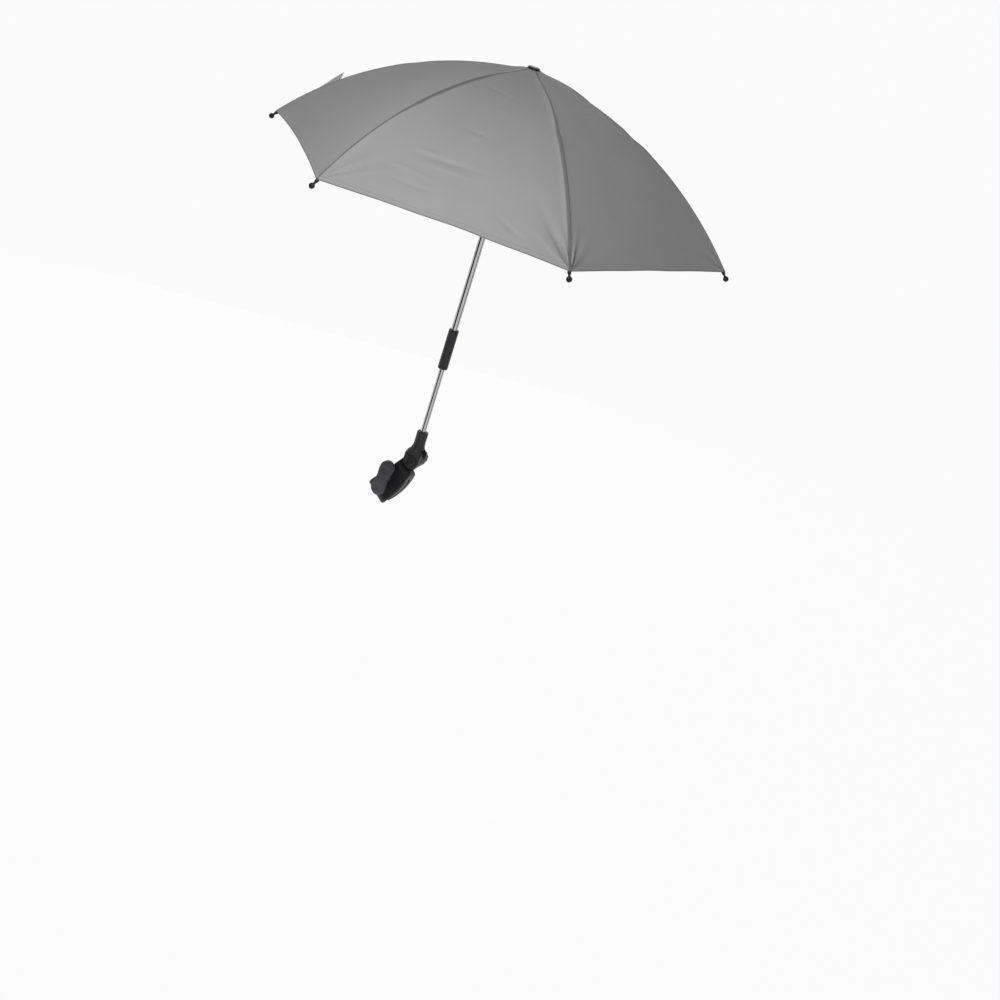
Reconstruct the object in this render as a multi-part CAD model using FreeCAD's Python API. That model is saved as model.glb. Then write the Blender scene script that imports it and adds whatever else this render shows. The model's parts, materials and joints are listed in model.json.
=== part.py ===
import FreeCAD, Part
import math
import os

Vector = FreeCAD.Vector
X_AXIS = Vector(1, 0, 0)
Y_AXIS = Vector(0, 1, 0)
Z_AXIS = Vector(0, 0, 1)

# Pram parasol with a folding canopy, a telescopic shaft and a tube clamp.
# All lengths are millimetres and all angles degrees.
# The origin is the middle of the clamped tube, +Z runs up the shaft to the canopy,
# and Y is the axis of the tilt pivot.

# Overall arrangement
ARM_LENGTH = 74.0  # axis of the clamped tube to the tilt pivot
ARM_TILT = 36.87  # lean of the clamp arm from the shaft, towards +X
HINGE_RING_HEIGHT = 618.0  # tilt pivot up to the ring that the ribs hinge on
COLLAR_BASE = 157.0  # tilt pivot up to the lower end of the twist collar

# Ribs
RIB_COUNT = 6
RIB_PHASE = 13.5  # angle of the first rib from +X, seen from above
TIP_RADIUS = 360.0  # shaft axis out to the middle of a ball tip
TIP_DROP = 184.0  # inner end of a rib down to the middle of its ball tip
RIB_RISE = 36.0  # height of the rib's arc over its chord
RIB_WIDTH = 3.8
RIB_HEIGHT = 3.4
RIB_WALL = 0.6
RIB_START = 9.0  # ring to the start of the rib's channel
EYE_DROP = 2.5  # ring below the rib's middle line
EYE_DIA = 4.6
EYE_TAIL = 26.0  # length of the eye blade, into the channel
LUG_THICKNESS = 2.0
LUG_DIA = 4.8
LUG_LENGTH = 11.0  # along the rib
JOINT_DROP = 6.0  # stretcher pin below the rib's middle line
HINGE_RING_RADIUS = 11.0
RING_WIRE_DIA = 1.2
TIP_BALL_DIA = 7.0
TIP_NECK_DIA = 3.0
TIP_NECK_LENGTH = 9.0  # middle of the ball to the end of the rib
TIP_STEM_DIA = 1.6
TIP_STEM_LENGTH = 10.0

# Stretchers
STRETCHER_LENGTH = 160.0  # pin to pin
STRETCHER_WALL = 0.8
STRETCHER_HEIGHT = 3.6
STRETCHER_SETBACK = 5.0  # pin to the start of the channel's web
PIN_DIA = 1.8
PIN_HEAD_DIA = 3.2
PIN_HEAD = 0.5

# Canopy cloth
CLOTH_THICKNESS = 0.8
CLOTH_HOLE_RADIUS = 6.5
CLOTH_CORNER = 10.0  # middle of a ball tip to the corner of the cloth
HEM_BOW = 7.0  # how far the hem curves in between two corners
SEAM_GAP = 0.1  # between two panels, along their seam over a rib
STRAP_LENGTH = 42.0
STRAP_WIDTH = 13.0
STRAP_THICKNESS = 1.2
STRAP_FROM_TIP = 66.0
STRAP_FROM_RIB = 16.0
STRAP_RIB = 4  # the strap lies on the panel just before this rib, counted from 1

# Crown and top cap
CROWN_RADIUS = 16.5
CROWN_ABOVE_RING = 1.5
CROWN_BELOW_RING = 3.4
CROWN_HUB_RADIUS = 7.8
CROWN_HUB_LENGTH = 11.0
CAP_DIA = 19.0
CAP_THICKNESS = 5.5
CAP_EDGE = 1.6
CAP_STEM_LENGTH = 14.0

# Shaft
UPPER_TUBE_DIA = 10.5
UPPER_TUBE_WALL = 0.9
ROD_DIA = 8.5
ROD_WALL = 1.0
ROD_OVERLAP = 130.0  # length of the rod inside the collar and the upper tube
COLLAR_DIA = 15.5
COLLAR_LENGTH = 65.0
COLLAR_LIP = 3.0
COLLAR_EDGE = 0.8
COLLET_LENGTH = 10.0
COLLET_WALL = 1.6
COLLET_SLOT = 1.2

# Runner and its catch
RUNNER_RADIUS = 16.5
RUNNER_FLANGE = 7.0
RUNNER_LENGTH = 46.0
BARREL_WALL = 3.0
THUMB_RADIUS = 11.0
THUMB_THICKNESS = 4.0
CATCH_WIDTH = 1.4
CATCH_WIRE = 1.0
CATCH_REACH = 8.6  # how far the catch stands out from the shaft axis
CATCH_SLOPE = 24.0
CATCH_TAIL = 14.0
CATCH_ANGLE = 30.0  # from the first rib, so that it lies between two stretchers

# Tilt joint
SOCKET_DIA = 18.0
SOCKET_TOP = 48.0  # tilt pivot up to the mouth of the rod socket
SOCKET_DEPTH = 24.0
SOCKET_EDGE = 1.0
FORK_TAPER = 29.0  # tilt pivot up to where the fork has narrowed to the socket
CROTCH_HEIGHT = 20.0  # tilt pivot up to the floor of the fork's gap, which lets it tilt past square
EYE_RADIUS = 13.5  # round ends of the fork cheeks and of the clamp's ear
CHEEK_EDGE = 1.2
CHEEK_THICKNESS = 8.0
EAR_THICKNESS = 11.0
WASHER_THICKNESS = 0.6
WASHER_DIA = 24.0
PIVOT_DIA = 6.0
CAP_HEAD_DIA = 18.0
CAP_HEAD_THICKNESS = 5.4
CAP_RECESS = 3.0
HAND_NUT_DIA = 23.0
HAND_NUT_THICKNESS = 9.0
HAND_NUT_EDGE = 1.0
HAND_NUT_FLUTES = 10
FLUTE_DIA = 4.0
RIVET_DIA = 3.0
RIVET_HEIGHT = 36.0

# Clamp
TUBE_DIA = 20.0
PAD_THICKNESS = 2.0
PAD_LENGTH = 38.0
JAW_WALL = 7.0
JAW_GAP = 6.0
JAW_TOP_WALL = 12.5  # thickness of a jaw at its upper end
JAW_WIDTH = 42.0  # along the tube
JAW_OFFSET = 11.5  # foot of the arm to the middle of the jaws, along the tube
JAW_CORNER = 6.0
JAW_EDGE = 4.0  # rounding of the jaws' long outer edges
LIP_ANGLE = 60.0  # how far each jaw wraps below the middle of the tube
SPINE_DROP = 28.0  # tilt pivot down to the underside of the spine
SPINE_DEPTH = 8.0
SPINE_OVERHANG = 16.0  # reach of the spine over the loose jaw
SHOULDER = 4.0
SCREW_RISE = 23.0  # middle of the tube up to the wing screw
SCREW_DIA = 6.0
SCREW_TAIL = 8.0
NUT_FLATS = 10.0
NUT_THICKNESS = 5.0
NUT_COVER = 6.0  # plastic between the jaw's gap and the nut
SEAT_DEPTH = 1.5  # flat spot-face that the wing screw's washer sits on
SCREW_WASHER_DIA = 16.0
SCREW_WASHER = 1.2
KNOB_HUB_DIA = 17.0
KNOB_HUB = 7.0
WING_LENGTH = 62.0
WING_WIDTH = 22.0
WING_WAIST = 18.0
WING_THICKNESS = 12.0
WING_SWEEP = 4.0  # how far the wings curve back at their tips
WING_DISH = 1.0
WING_DISH_RADIUS = 28.0
WING_EDGE = 1.5  # rounding of the wings' rims
WING_ANGLE = 28.6  # lean of the wing from the clamp arm, towards the canopy's side

# Clearances
RUNNING = 0.05
SLIDING = 0.1
CLEAR = 0.3
LOOSE = 0.5

# Derived places in the plane of a rib, as radius and height over the tilt pivot
rib_inner = (HINGE_RING_RADIUS, HINGE_RING_HEIGHT + EYE_DROP)
rib_outer = (TIP_RADIUS, rib_inner[1] - TIP_DROP)
rib_chord = math.hypot(rib_outer[0] - rib_inner[0], rib_outer[1] - rib_inner[1])
rib_radius = (rib_chord ** 2 / 4 + RIB_RISE ** 2) / (2 * RIB_RISE)
chord_slope = math.atan2(TIP_DROP, rib_outer[0] - rib_inner[0])
half_sweep = math.asin(rib_chord / 2 / rib_radius)
arc_centre = (
    rib_inner[0] - rib_radius * math.sin(chord_slope - half_sweep),
    rib_inner[1] - rib_radius * math.cos(chord_slope - half_sweep),
)
rib_length = 2 * half_sweep * rib_radius


def on_rib(along, lift=0.0):
    """The point this far along the rib's arc from its inner end, lifted off its middle line."""
    lean = chord_slope - half_sweep + along / rib_radius
    reach = rib_radius + lift
    return Vector(
        arc_centre[0] + reach * math.sin(lean), 0, arc_centre[1] + reach * math.cos(lean)
    )


def lean_at(along):
    """The rib's slope below the horizontal, in degrees, this far along its arc."""
    return math.degrees(chord_slope - half_sweep + along / rib_radius)


def joint_place():
    """How far along the rib the stretcher's pin is, one stretcher length from the ring."""
    reach = rib_radius - JOINT_DROP
    ring = math.hypot(
        HINGE_RING_RADIUS - arc_centre[0], HINGE_RING_HEIGHT - arc_centre[1]
    )
    ring_lean = math.atan2(
        HINGE_RING_RADIUS - arc_centre[0], HINGE_RING_HEIGHT - arc_centre[1]
    )
    turn = math.acos(
        (reach ** 2 + ring ** 2 - STRETCHER_LENGTH ** 2) / (2 * reach * ring)
    )
    return (ring_lean + turn - (chord_slope - half_sweep)) * rib_radius


joint_along = joint_place()
joint_pin = on_rib(joint_along, -JOINT_DROP)
ring_point = Vector(HINGE_RING_RADIUS, 0, HINGE_RING_HEIGHT)
stretcher_slope = math.atan2(ring_point.z - joint_pin.z, joint_pin.x - ring_point.x)
runner_height = HINGE_RING_HEIGHT - 2 * STRETCHER_LENGTH * math.sin(stretcher_slope)

stretcher_width = LUG_THICKNESS + 2 * CLEAR + 2 * STRETCHER_WALL
stretcher_end_radius = STRETCHER_HEIGHT / 2
tube_radius = UPPER_TUBE_DIA / 2
tube_bore_radius = tube_radius - UPPER_TUBE_WALL
rod_radius = ROD_DIA / 2
tube_base = COLLAR_BASE + COLLAR_LIP + CLEAR + COLLET_LENGTH
tube_top = HINGE_RING_HEIGHT + CROWN_ABOVE_RING
panel_turn = math.radians(180.0 / RIB_COUNT)  # a panel's turn away from a rib, seen from above
corner_drop = RIB_WIDTH / 2 * math.tan(panel_turn) * math.sin(chord_slope + half_sweep)
cloth_bottom = RIB_HEIGHT / 2 + corner_drop + CLEAR
cloth_top = cloth_bottom + CLOTH_THICKNESS
fork_gap = EAR_THICKNESS + 2 * (WASHER_THICKNESS + 2 * RUNNING)
fork_half = fork_gap / 2 + CHEEK_THICKNESS
seat_radius = TUBE_DIA / 2 + PAD_THICKNESS
jaw_radius = seat_radius + JAW_WALL
spine_height = ARM_LENGTH - SPINE_DROP
bell_radius = math.hypot(EYE_RADIUS, fork_half) + CHEEK_EDGE
arm_lean = math.radians(ARM_TILT)
pivot = Vector(
    ARM_LENGTH * math.sin(arm_lean) - JAW_OFFSET * math.cos(arm_lean),
    0,
    ARM_LENGTH * math.cos(arm_lean) + JAW_OFFSET * math.sin(arm_lean),
)

nodes = {}


def add(name, *solids):
    """Keep one node, as a single solid or a group of separate ones."""
    nodes[name] = solids[0] if len(solids) == 1 else Part.makeCompound(list(solids))


def on_shaft(shape, angle=0.0):
    """Turn a shape about the shaft and lift it from the pivot's frame to the part's."""
    placed = shape.copy()
    placed.rotate(Vector(0, 0, 0), Z_AXIS, angle)
    placed.translate(pivot)
    return placed


def on_clamp(shape):
    """Lean a shape of the clamp, drawn with its arm along Z, to where the clamp sits."""
    placed = shape.copy()
    placed.translate(X_AXIS * -JAW_OFFSET)
    placed.rotate(Vector(0, 0, 0), Y_AXIS, ARM_TILT)
    return placed


def rib_angle(number):
    return RIB_PHASE + number * 360.0 / RIB_COUNT


def bar(radius, start, end):
    """A round bar between two points."""
    return Part.makeCylinder(radius, (end - start).Length, start, end - start)


def across(radius, half, centre):
    """A round bar along Y, centred on a point."""
    return bar(radius, centre - Y_AXIS * half, centre + Y_AXIS * half)


def turned(wire):
    """A solid turned about the shaft axis from a closed wire."""
    return Part.Face(wire).revolve(Vector(0, 0, 0), Z_AXIS, 360)


def spun(outline):
    """A solid turned about the shaft axis from radius and height points."""
    points = [Vector(r, 0, z) for r, z in outline]
    return turned(Part.makePolygon(points + points[:1]))


def spun_about_y(outline, centre):
    """A solid turned about a line along Y from radius and Y points."""
    points = [centre + Vector(r, y, 0) for r, y in outline]
    face = Part.Face(Part.makePolygon(points + points[:1]))
    return face.revolve(centre, Y_AXIS, 360)


def drawn(start, *moves):
    """A closed wire of lines, of arcs through a middle point and of curves with two poles."""
    edges = []
    here = start
    for move in moves + (start,):
        steps = move if isinstance(move, tuple) else (move,)
        end = steps[-1]
        if len(steps) == 3:
            curve = Part.BezierCurve()
            curve.setPoles([here, *steps])
            edges.append(curve.toShape())
        elif len(steps) == 2:
            edges.append(Part.Arc(here, *steps).toShape())
        elif (end - here).Length > 1e-6:
            edges.append(Part.LineSegment(here, end).toShape())
        here = end
    return Part.Wire(edges)


def slab(wire, direction, thickness):
    """A wire filled and thickened equally to both sides along a direction."""
    face = Part.Face(wire)
    face.translate(direction * (-thickness / 2))
    return face.extrude(direction * thickness)


# Ribs, stretchers and what joins them, each drawn in the plane of a rib


def channel_section(along):
    """The rib's channel section, open below, square to its arc."""
    half = RIB_WIDTH / 2
    inner = half - RIB_WALL
    low = -RIB_HEIGHT / 2
    high = RIB_HEIGHT / 2
    corners = [
        (-half, low),
        (-half, high),
        (half, high),
        (half, low),
        (inner, low),
        (inner, high - RIB_WALL),
        (-inner, high - RIB_WALL),
        (-inner, low),
    ]
    points = [on_rib(along, lift) + Y_AXIS * side for side, lift in corners]
    return Part.Face(Part.makePolygon(points + points[:1]))


def rib():
    """A bent channel with a flat eye blade at the crown and a pressed-in pin lug."""
    end = rib_length - TIP_NECK_LENGTH
    sweep = math.degrees((end - RIB_START) / rib_radius)
    centre = Vector(arc_centre[0], 0, arc_centre[1])
    channel = channel_section(RIB_START).revolve(centre, Y_AXIS, sweep)
    top = RIB_HEIGHT / 2 - RIB_WALL
    low = -RIB_HEIGHT / 2
    blade_wire = drawn(
        ring_point + Vector(0, 0, EYE_DIA / 2),
        on_rib(RIB_START, top),
        on_rib(EYE_TAIL, top),
        on_rib(EYE_TAIL, low),
        on_rib(RIB_START, low),
        ring_point - Vector(0, 0, EYE_DIA / 2),
    )
    blade = slab(blade_wire, Y_AXIS, LUG_THICKNESS)
    eye = across(EYE_DIA / 2, LUG_THICKNESS / 2, ring_point)
    hole = across(RING_WIRE_DIA / 2 + SLIDING, LUG_THICKNESS, ring_point)
    return channel.fuse([blade, eye]).cut(hole).removeSplitter()


def rib_joint():
    """The lug crimped into the rib's channel, which carries the stretcher's pin."""
    half = LUG_LENGTH / 2
    top = RIB_HEIGHT / 2 - RIB_WALL - RUNNING
    low = -RIB_HEIGHT / 2
    reach = LUG_DIA / 2
    wire = drawn(
        on_rib(joint_along - half, top),
        on_rib(joint_along + half, top),
        on_rib(joint_along + half, low),
        on_rib(joint_along + reach, -JOINT_DROP),
        (on_rib(joint_along, -JOINT_DROP - reach), on_rib(joint_along - reach, -JOINT_DROP)),
        on_rib(joint_along - half, low),
    )
    hole = across(PIN_DIA / 2 + RUNNING, LUG_THICKNESS, joint_pin)
    return slab(wire, Y_AXIS, LUG_THICKNESS).cut(hole)


def rib_pin():
    """The rivet through the lug and both walls of the stretcher."""
    half = stretcher_width / 2 + SLIDING
    shank = across(PIN_DIA / 2, half + PIN_HEAD, joint_pin)
    heads = [
        bar(
            PIN_HEAD_DIA / 2,
            joint_pin + Y_AXIS * (side * half),
            joint_pin + Y_AXIS * (side * (half + PIN_HEAD)),
        )
        for side in (-1, 1)
    ]
    return shank.fuse(heads).removeSplitter()


def rib_tip():
    """The ball tip, with a neck that butts on the rib's end and a stem inside the channel."""
    end = rib_length - TIP_NECK_LENGTH
    ball_centre = on_rib(rib_length)
    rib_end = on_rib(end)
    along = (ball_centre - rib_end).normalize()
    ball = Part.makeSphere(TIP_BALL_DIA / 2, ball_centre)
    neck = bar(TIP_NECK_DIA / 2, rib_end + along * RUNNING, ball_centre)
    stem = bar(TIP_STEM_DIA / 2, rib_end - along * TIP_STEM_LENGTH, ball_centre)
    return ball.fuse([neck, stem]).removeSplitter()


def stretcher():
    """A straight channel, open towards the rib, with rounded and drilled ends."""
    height = STRETCHER_HEIGHT / 2
    width = stretcher_width / 2
    end = stretcher_end_radius
    side_wire = drawn(
        Vector(0, 0, -height),
        Vector(STRETCHER_LENGTH, 0, -height),
        (Vector(STRETCHER_LENGTH + end, 0, 0), Vector(STRETCHER_LENGTH, 0, height)),
        Vector(0, 0, height),
        (Vector(-end, 0, 0), Vector(0, 0, -height)),
    )
    body = slab(side_wire, Y_AXIS, stretcher_width)
    inner = width - STRETCHER_WALL
    trough_height = STRETCHER_HEIGHT - STRETCHER_WALL
    trough = Part.makeBox(
        STRETCHER_LENGTH + 4 * end,
        2 * inner,
        trough_height,
        Vector(-2 * end, -inner, -height),
    )
    ends = [
        Part.makeBox(
            STRETCHER_SETBACK + 2 * end, 2 * inner, STRETCHER_HEIGHT, Vector(at, -inner, -height)
        )
        for at in (-2 * end, STRETCHER_LENGTH - STRETCHER_SETBACK)
    ]
    holes = [
        across(PIN_DIA / 2 + RUNNING, stretcher_width, Vector(at, 0, 0))
        for at in (0, STRETCHER_LENGTH)
    ]
    shape = body.cut([trough] + ends + holes)
    shape.rotate(Vector(0, 0, 0), Y_AXIS, 180 - math.degrees(stretcher_slope))
    shape.translate(joint_pin)
    return shape


for number in range(RIB_COUNT):
    label = str(number + 1)
    angle = rib_angle(number)
    add("rib_" + label, on_shaft(rib(), angle))
    add("rib_joint_" + label, on_shaft(rib_joint(), angle))
    add("rib_pin_" + label, on_shaft(rib_pin(), angle))
    add("rib_tip_" + label, on_shaft(rib_tip(), angle))
    add("stretcher_" + label, on_shaft(stretcher(), angle))

# Canopy


def turned_about_shaft(point, angle):
    turn = FreeCAD.Rotation(Z_AXIS, angle)
    return turn.multVec(point)


def cloth_panel():
    """One panel of cloth, straight across from rib to rib, with its hem curved in."""
    step = 360.0 / RIB_COUNT
    start = -(HINGE_RING_RADIUS - CLOTH_HOLE_RADIUS)
    end = rib_length - CLOTH_CORNER
    middle = (start + end) / 2

    seams = ((0, SEAM_GAP / 2), (step, -SEAM_GAP / 2))

    def spot(along, lift, seam):
        return turned_about_shaft(on_rib(along, lift) + Y_AXIS * seam[1], seam[0])

    def arc(lift, seam):
        return Part.Arc(*[spot(along, lift, seam) for along in (start, middle, end)]).toShape()

    top = [arc(cloth_top, seam) for seam in seams]
    bottom = [arc(cloth_bottom, seam) for seam in seams]
    faces = [Part.makeRuledSurface(*top), Part.makeRuledSurface(*bottom)]
    for upper, lower in zip(top, bottom):
        ends = [
            Part.LineSegment(upper.valueAt(at), lower.valueAt(at)).toShape()
            for at in (upper.FirstParameter, upper.LastParameter)
        ]
        faces.append(Part.Face(Part.Wire(Part.__sortEdges__([upper, lower] + ends))))
    for along in (start, end):
        corners = [
            spot(along, cloth_top, seams[0]),
            spot(along, cloth_top, seams[1]),
            spot(along, cloth_bottom, seams[1]),
            spot(along, cloth_bottom, seams[0]),
        ]
        faces.append(Part.Face(Part.makePolygon(corners + corners[:1])))
    shell = Part.Shell(faces)
    shell.sewShape()
    panel = Part.Solid(shell)
    if panel.Volume < 0:
        panel.reverse()
    return panel.cut(hem_cutter(step))


def hem_cutter(step):
    """An upright round post whose side cuts the hem's curve between two corners."""
    corner = on_rib(rib_length - CLOTH_CORNER, cloth_top)
    half_hem = corner.x * math.sin(math.radians(step / 2))
    hem_middle = corner.x * math.cos(math.radians(step / 2))
    radius = (half_hem ** 2 + HEM_BOW ** 2) / (2 * HEM_BOW)
    place = turned_about_shaft(Vector(hem_middle - HEM_BOW + radius, 0, 0), step / 2)
    return Part.makeCylinder(radius, HINGE_RING_HEIGHT, place)


def closing_strap():
    """The short closing strap that lies along a rib, on the panel beside it."""
    along = rib_length - STRAP_FROM_TIP - STRAP_LENGTH / 2
    spot = on_rib(along, cloth_top)
    lean = math.radians(lean_at(along))
    down_rib = Vector(math.cos(lean), 0, -math.sin(lean))
    panel_side = Vector(-math.tan(panel_turn), -1, 0)
    normal = down_rib.cross(panel_side).normalize()
    if normal.z < 0:
        normal = -normal
    sideways = normal.cross(down_rib).normalize()
    if sideways.y > 0:
        sideways = -sideways
    lift = STRAP_LENGTH ** 2 / (8 * rib_radius) + CLEAR
    corner = spot + sideways * STRAP_FROM_RIB + normal * lift - down_rib * (STRAP_LENGTH / 2)
    edges = [
        corner,
        corner + down_rib * STRAP_LENGTH,
        corner + down_rib * STRAP_LENGTH + sideways * STRAP_WIDTH,
        corner + sideways * STRAP_WIDTH,
    ]
    face = Part.Face(Part.makePolygon(edges + edges[:1]))
    return face.extrude(normal * STRAP_THICKNESS)


panel = cloth_panel()
add("canopy", *[on_shaft(panel, rib_angle(number)) for number in range(RIB_COUNT)])
add("closing_strap", on_shaft(closing_strap(), rib_angle(STRAP_RIB - 1)))

# Crown, top cap and shaft


def crown():
    """The notched disc at the top of the shaft, with a groove for the hinge wire."""
    bore = tube_radius + RUNNING
    top = HINGE_RING_HEIGHT + CROWN_ABOVE_RING
    low = HINGE_RING_HEIGHT - CROWN_BELOW_RING
    hub_low = HINGE_RING_HEIGHT - CROWN_HUB_LENGTH
    disc = spun(
        [
            (bore, top),
            (CROWN_RADIUS, top),
            (CROWN_RADIUS, low),
            (CROWN_HUB_RADIUS, low),
            (CROWN_HUB_RADIUS, hub_low),
            (bore, hub_low),
        ]
    )
    groove_radius = RING_WIRE_DIA / 2 + RUNNING
    wire_path = Part.makeTorus(
        HINGE_RING_RADIUS, groove_radius, Vector(0, 0, HINGE_RING_HEIGHT)
    )
    groove = spun(
        [
            (HINGE_RING_RADIUS - groove_radius, HINGE_RING_HEIGHT),
            (HINGE_RING_RADIUS + groove_radius, HINGE_RING_HEIGHT),
            (HINGE_RING_RADIUS + groove_radius, low - LOOSE),
            (HINGE_RING_RADIUS - groove_radius, low - LOOSE),
        ]
    )
    return disc.cut([wire_path, groove] + slots(LUG_THICKNESS + 2 * CLEAR, hub_low, top))


def slots(width, low, high):
    """Radial slots at every rib, from the hub outwards and open at the rim."""
    cutters = []
    for number in range(RIB_COUNT):
        box = Part.makeBox(
            2 * CROWN_RADIUS,
            width,
            high - low + 2 * LOOSE,
            Vector(HINGE_RING_RADIUS - EYE_DIA / 2 - LOOSE, -width / 2, low - LOOSE),
        )
        box.rotate(Vector(0, 0, 0), Z_AXIS, number * 360.0 / RIB_COUNT)
        cutters.append(box)
    return cutters


def top_cap():
    """The low round cap that clamps the cloth on the crown, with a stem in the tube."""
    base = on_rib(CLOTH_HOLE_RADIUS - HINGE_RING_RADIUS, cloth_top).z + CLEAR
    radius = CAP_DIA / 2
    stem = tube_bore_radius - RUNNING
    top = base + CAP_THICKNESS
    return spun(
        [
            (0, tube_top - CAP_STEM_LENGTH),
            (stem, tube_top - CAP_STEM_LENGTH),
            (stem, base),
            (radius, base),
            (radius, top - CAP_EDGE),
            (radius - CAP_EDGE, top),
            (0, top),
        ]
    )


def upper_tube():
    """The upper shaft tube, with the slot that the runner's catch comes out of."""
    tube = Part.makeCylinder(tube_radius, tube_top - tube_base, Vector(0, 0, tube_base))
    bore = Part.makeCylinder(tube_bore_radius, tube_top - tube_base, Vector(0, 0, tube_base))
    slot = Part.makeBox(
        UPPER_TUBE_DIA,
        CATCH_WIDTH + 2 * CLEAR,
        CATCH_SLOPE + 2 * LOOSE,
        Vector(0, -CATCH_WIDTH / 2 - CLEAR, catch_top - CATCH_SLOPE - LOOSE),
    )
    slot.rotate(Vector(0, 0, 0), Z_AXIS, CATCH_ANGLE)
    return tube.cut([bore, slot])


def catch_spring():
    """The bent spring that stands out of the tube below the open runner."""
    inner = tube_bore_radius - SLIDING
    low = catch_top - CATCH_SLOPE
    wire = drawn(
        Vector(inner, 0, low - CATCH_TAIL),
        Vector(inner, 0, low),
        Vector(CATCH_REACH, 0, catch_top - CATCH_WIRE),
        Vector(CATCH_REACH, 0, catch_top),
        Vector(0, 0, catch_top),
        Vector(0, 0, catch_top - CATCH_WIRE),
        Vector(CATCH_REACH - 2 * CATCH_WIRE, 0, catch_top - CATCH_WIRE),
        Vector(inner - CATCH_WIRE, 0, low + CATCH_WIRE),
        Vector(inner - CATCH_WIRE, 0, low - CATCH_TAIL),
    )
    shape = slab(wire, Y_AXIS, CATCH_WIDTH)
    shape.rotate(Vector(0, 0, 0), Z_AXIS, CATCH_ANGLE)
    return shape


def runner():
    """The sliding hub: a notched flange for the stretchers, a barrel and a thumb rim."""
    bore = tube_radius + SLIDING
    barrel = bore + BARREL_WALL
    top = runner_height + RUNNER_FLANGE / 2
    flange_low = runner_height - RUNNER_FLANGE / 2
    low = top - RUNNER_LENGTH
    shape = spun(
        [
            (bore, top),
            (RUNNER_RADIUS, top),
            (RUNNER_RADIUS, flange_low),
            (barrel, flange_low),
            (barrel, low + THUMB_THICKNESS),
            (THUMB_RADIUS, low + THUMB_THICKNESS),
            (THUMB_RADIUS, low),
            (bore, low),
        ]
    )
    cutters = []
    width = stretcher_width + 2 * CLEAR
    for number in range(RIB_COUNT):
        box = Part.makeBox(
            RUNNER_RADIUS,
            width,
            RUNNER_FLANGE + 2 * LOOSE,
            Vector(barrel, -width / 2, flange_low),
        )
        box.rotate(Vector(0, 0, 0), Z_AXIS, number * 360.0 / RIB_COUNT)
        cutters.append(box)
    return shape.cut(cutters)


def twist_collar():
    """The sleeve that turns on the upper tube and tightens the collet on the rod."""
    radius = COLLAR_DIA / 2
    tube_bore = tube_radius + SLIDING
    rod_bore = rod_radius + SLIDING
    chamber = collet_radius + SLIDING
    lip = COLLAR_BASE + COLLAR_LIP
    top = COLLAR_BASE + COLLAR_LENGTH
    return spun(
        [
            (rod_bore, COLLAR_BASE),
            (radius - COLLAR_EDGE, COLLAR_BASE),
            (radius, COLLAR_BASE + COLLAR_EDGE),
            (radius, top - COLLAR_EDGE),
            (radius - COLLAR_EDGE, top),
            (tube_bore, top),
            (tube_bore, tube_base + LOOSE),
            (chamber, tube_base + LOOSE),
            (chamber, lip),
            (rod_bore, lip),
        ]
    )


def grip_collet():
    """The split ring at the end of the upper tube, squeezed on the rod by the collar."""
    low = tube_base - COLLET_LENGTH
    bore = rod_radius + RUNNING
    ring = spun(
        [
            (bore, low),
            (collet_radius, low),
            (collet_radius, tube_base),
            (bore, tube_base),
        ]
    )
    split = Part.makeBox(COLLAR_DIA, COLLET_SLOT, COLLET_LENGTH, Vector(0, -COLLET_SLOT / 2, low))
    return ring.cut(split)


catch_top = runner_height + RUNNER_FLANGE / 2 - RUNNER_LENGTH - CLEAR
collet_radius = rod_radius + RUNNING + COLLET_WALL
hinge_wire = Part.makeTorus(
    HINGE_RING_RADIUS, RING_WIRE_DIA / 2, Vector(0, 0, HINGE_RING_HEIGHT)
)
add("crown", on_shaft(crown(), RIB_PHASE))
add("hinge_wire", on_shaft(hinge_wire))
add("top_cap", on_shaft(top_cap()))
add("upper_tube", on_shaft(upper_tube(), RIB_PHASE))
add("catch_spring", on_shaft(catch_spring(), RIB_PHASE))
add("runner", on_shaft(runner(), RIB_PHASE))
add("twist_collar", on_shaft(twist_collar()))
add("grip_collet", on_shaft(grip_collet()))

# Tilt joint: the fork, its rod and the bolt, drawn with the pivot at the origin


def on_cheek(edge):
    """Whether an edge lies on the outer face of a cheek."""
    flat = edge.BoundBox.YLength < RUNNING
    return flat and abs(edge.BoundBox.YMax) > fork_half - RUNNING


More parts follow.
